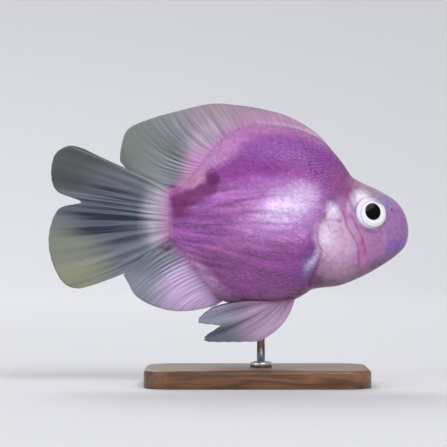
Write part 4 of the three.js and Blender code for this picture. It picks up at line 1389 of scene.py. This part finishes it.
for side, word in ((1, "left"), (-1, "right")):
    for part, start, end in COAT_PARTS:
        spots = lattice[(lattice[:, 0] >= start) & (lattice[:, 0] < end)]
        values = {"Plate": plate, "Tilt": SCALE_TILT, "Unevenness": SCALE_UNEVEN, "Patch": UV_PATCH,
                  "Seed": SCALE_SEED, "Finish": scale_finish}
        roots = new_object("roots", scale_points(spots, side))
        coat = grown("scales_" + part + "_" + word, roots, SCALE_TREE, values)
        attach(coat, "root")
        tell(coat)
        print(len(spots), "scales,", len(coat.data.loop_triangles), "triangles,", coat.data.uv_layers.keys())
bpy.data.objects.remove(plate)

# %% [markdown]
# ## Stand
#
# The fish stands on a slim steel rod over a walnut block, as a museum shows a still model. The block is one
# solid piece with eased edges. A bevelled box would do, but its corners are wide, so it is built of rings of
# its own outline, each drawn in a little. Its grain is noise drawn out along the block, turned into growth
# rings by a sine.

# %% Walnut base
BASE_LENGTH, BASE_WIDTH, BASE_HEIGHT, BASE_CORNER, BASE_X = 112, 66, 9, 14, 14
CORNER_STEPS = 16
EASE, EASE_STEPS = 1.8, 6
FOOT_BEVEL = 0.6


def rounded_outline(inset, height):
    """The base's outline at a height, drawn in by an inset."""
    corner = BASE_CORNER - inset
    reach_x, reach_y = BASE_LENGTH / 2 - BASE_CORNER, BASE_WIDTH / 2 - BASE_CORNER
    points = []
    for quarter, (sx, sy) in enumerate(((1, 1), (-1, 1), (-1, -1), (1, -1))):
        for i in range(CORNER_STEPS + 1):
            a = (quarter + i / CORNER_STEPS) * math.pi / 2
            x, y = BASE_X + sx * reach_x + corner * math.cos(a), sy * reach_y + corner * math.sin(a)
            points.append((x, y, height))
    return points


profile = [(FOOT_BEVEL, 0.0), (0.0, FOOT_BEVEL)]
for a in np.linspace(0, math.pi / 2, EASE_STEPS):
    profile.append((EASE * (1 - math.cos(a)), BASE_HEIGHT - EASE + EASE * math.sin(a)))
profile += [(6.0, BASE_HEIGHT), (12.0, BASE_HEIGHT)]
base_rings = np.array([rounded_outline(inset, height) for inset, height in profile]) * MM
base = new_object("walnut_base", ring_mesh("walnut_base", base_rings))
tell(base)

# %% Walnut finish
# Oiled walnut: brown heartwood gives the eye long dark growth rings, fine pores and the oil's low sheen
walnut, tree = new_material("oiled walnut", Roughness=0.42, IOR=1.47, Coat_Weight=0.12, Coat_Roughness=0.3)
where = add(tree, "ShaderNodeTexCoord", out="Object")
drawn_out = add(tree, "ShaderNodeMapping", {"Vector": where, "Rotation": (0, 0, 0.06), "Scale": (9, 110, 70)})
growth = {"Vector": drawn_out, "Scale": 1.0, "Detail": 3.0, "Distortion": 0.6}
growth = add(tree, "ShaderNodeTexNoise", growth)
growth = add(tree, "ShaderNodeMath", {0: growth, 1: 34.0}, operation="MULTIPLY")
growth = add(tree, "ShaderNodeMath", {0: growth}, operation="SINE")
grain = add(tree, "ShaderNodeMapRange", {0: growth, 1: -1, 2: 1, 3: 0, 4: 1})
pore = add(tree, "ShaderNodeMapping", {"Vector": where, "Scale": (60, 1400, 900)})
pore = add(tree, "ShaderNodeTexNoise", {"Vector": pore, "Scale": 1.0, "Detail": 2.0})
pore = add(tree, "ShaderNodeMapRange", {0: pore, 1: 0.55, 2: 0.68, 3: 1.0, 4: 0.62})
wood = layered(tree, colour("#5B3B26"), (grain, colour("#7D5638")))
wood = times(tree, wood, pore, noise_value(tree, 25, 0.85, 1.12))
feed(tree, Base_Color=wood, Normal=add(tree, "ShaderNodeBump", {"Height": pore, "Distance": 0.06 * MM}))
base.data.materials.append(walnut)
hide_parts("stand_base")
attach(base, "root")
print("walnut:", len(tree.nodes), "nodes")

# %% [markdown]
# ## Rod and collar
#
# Both are turned from steel bar and polished on the lathe. Blender's cylinder has no eased edges, so an
# outline is turned round the rod's axis here too. Fine noise, squeezed along that axis, leaves the lathe's
# faint rings.

# %% Steel finish
# Brushed steel: polishing round the axis gives the eye upright glints with a fine ring texture
steel, tree = new_material("brushed steel", Metallic=1.0, Base_Color=colour("#C4C6CA"))
rings = {"Vector": add(tree, "ShaderNodeTexCoord", out="Object"), "Scale": (80, 80, 4000)}
rings = add(tree, "ShaderNodeMapping", rings)
rings = add(tree, "ShaderNodeTexNoise", {"Vector": rings, "Scale": 1.0, "Detail": 2.0})
rough = add(tree, "ShaderNodeMapRange", {0: rings, 1: 0.3, 2: 0.7, 3: 0.24, 4: 0.40})
feed(tree, Roughness=rough, Normal=add(tree, "ShaderNodeBump", {"Height": rings, "Distance": 0.01 * MM}))
print("steel:", len(tree.nodes), "nodes")

# %% Steel rod and collar
ROD_X, LATHE_STEPS = 16.0, 64
# radius and height, bottom first
ROD_OUTLINE = [(2, 9), (2, 47.7), (1.7, 48)]
COLLAR_OUTLINE = [(5.5, 9), (5.5, 10.9), (5.3, 11.4), (4.8, 11.8), (4.2, 12), (2.4, 12)]

TURNED_PIECES = [("steel_rod", "stand_rod", ROD_OUTLINE), ("steel_collar", "stand_collar", COLLAR_OUTLINE)]
for name, node, outline in TURNED_PIECES:
    piece = new_object(name, ring_mesh(name, lathed(outline, LATHE_STEPS, ROD_X) * MM))
    piece.data.materials.append(steel)
    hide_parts(node)
    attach(piece, "root")
    tell(piece)
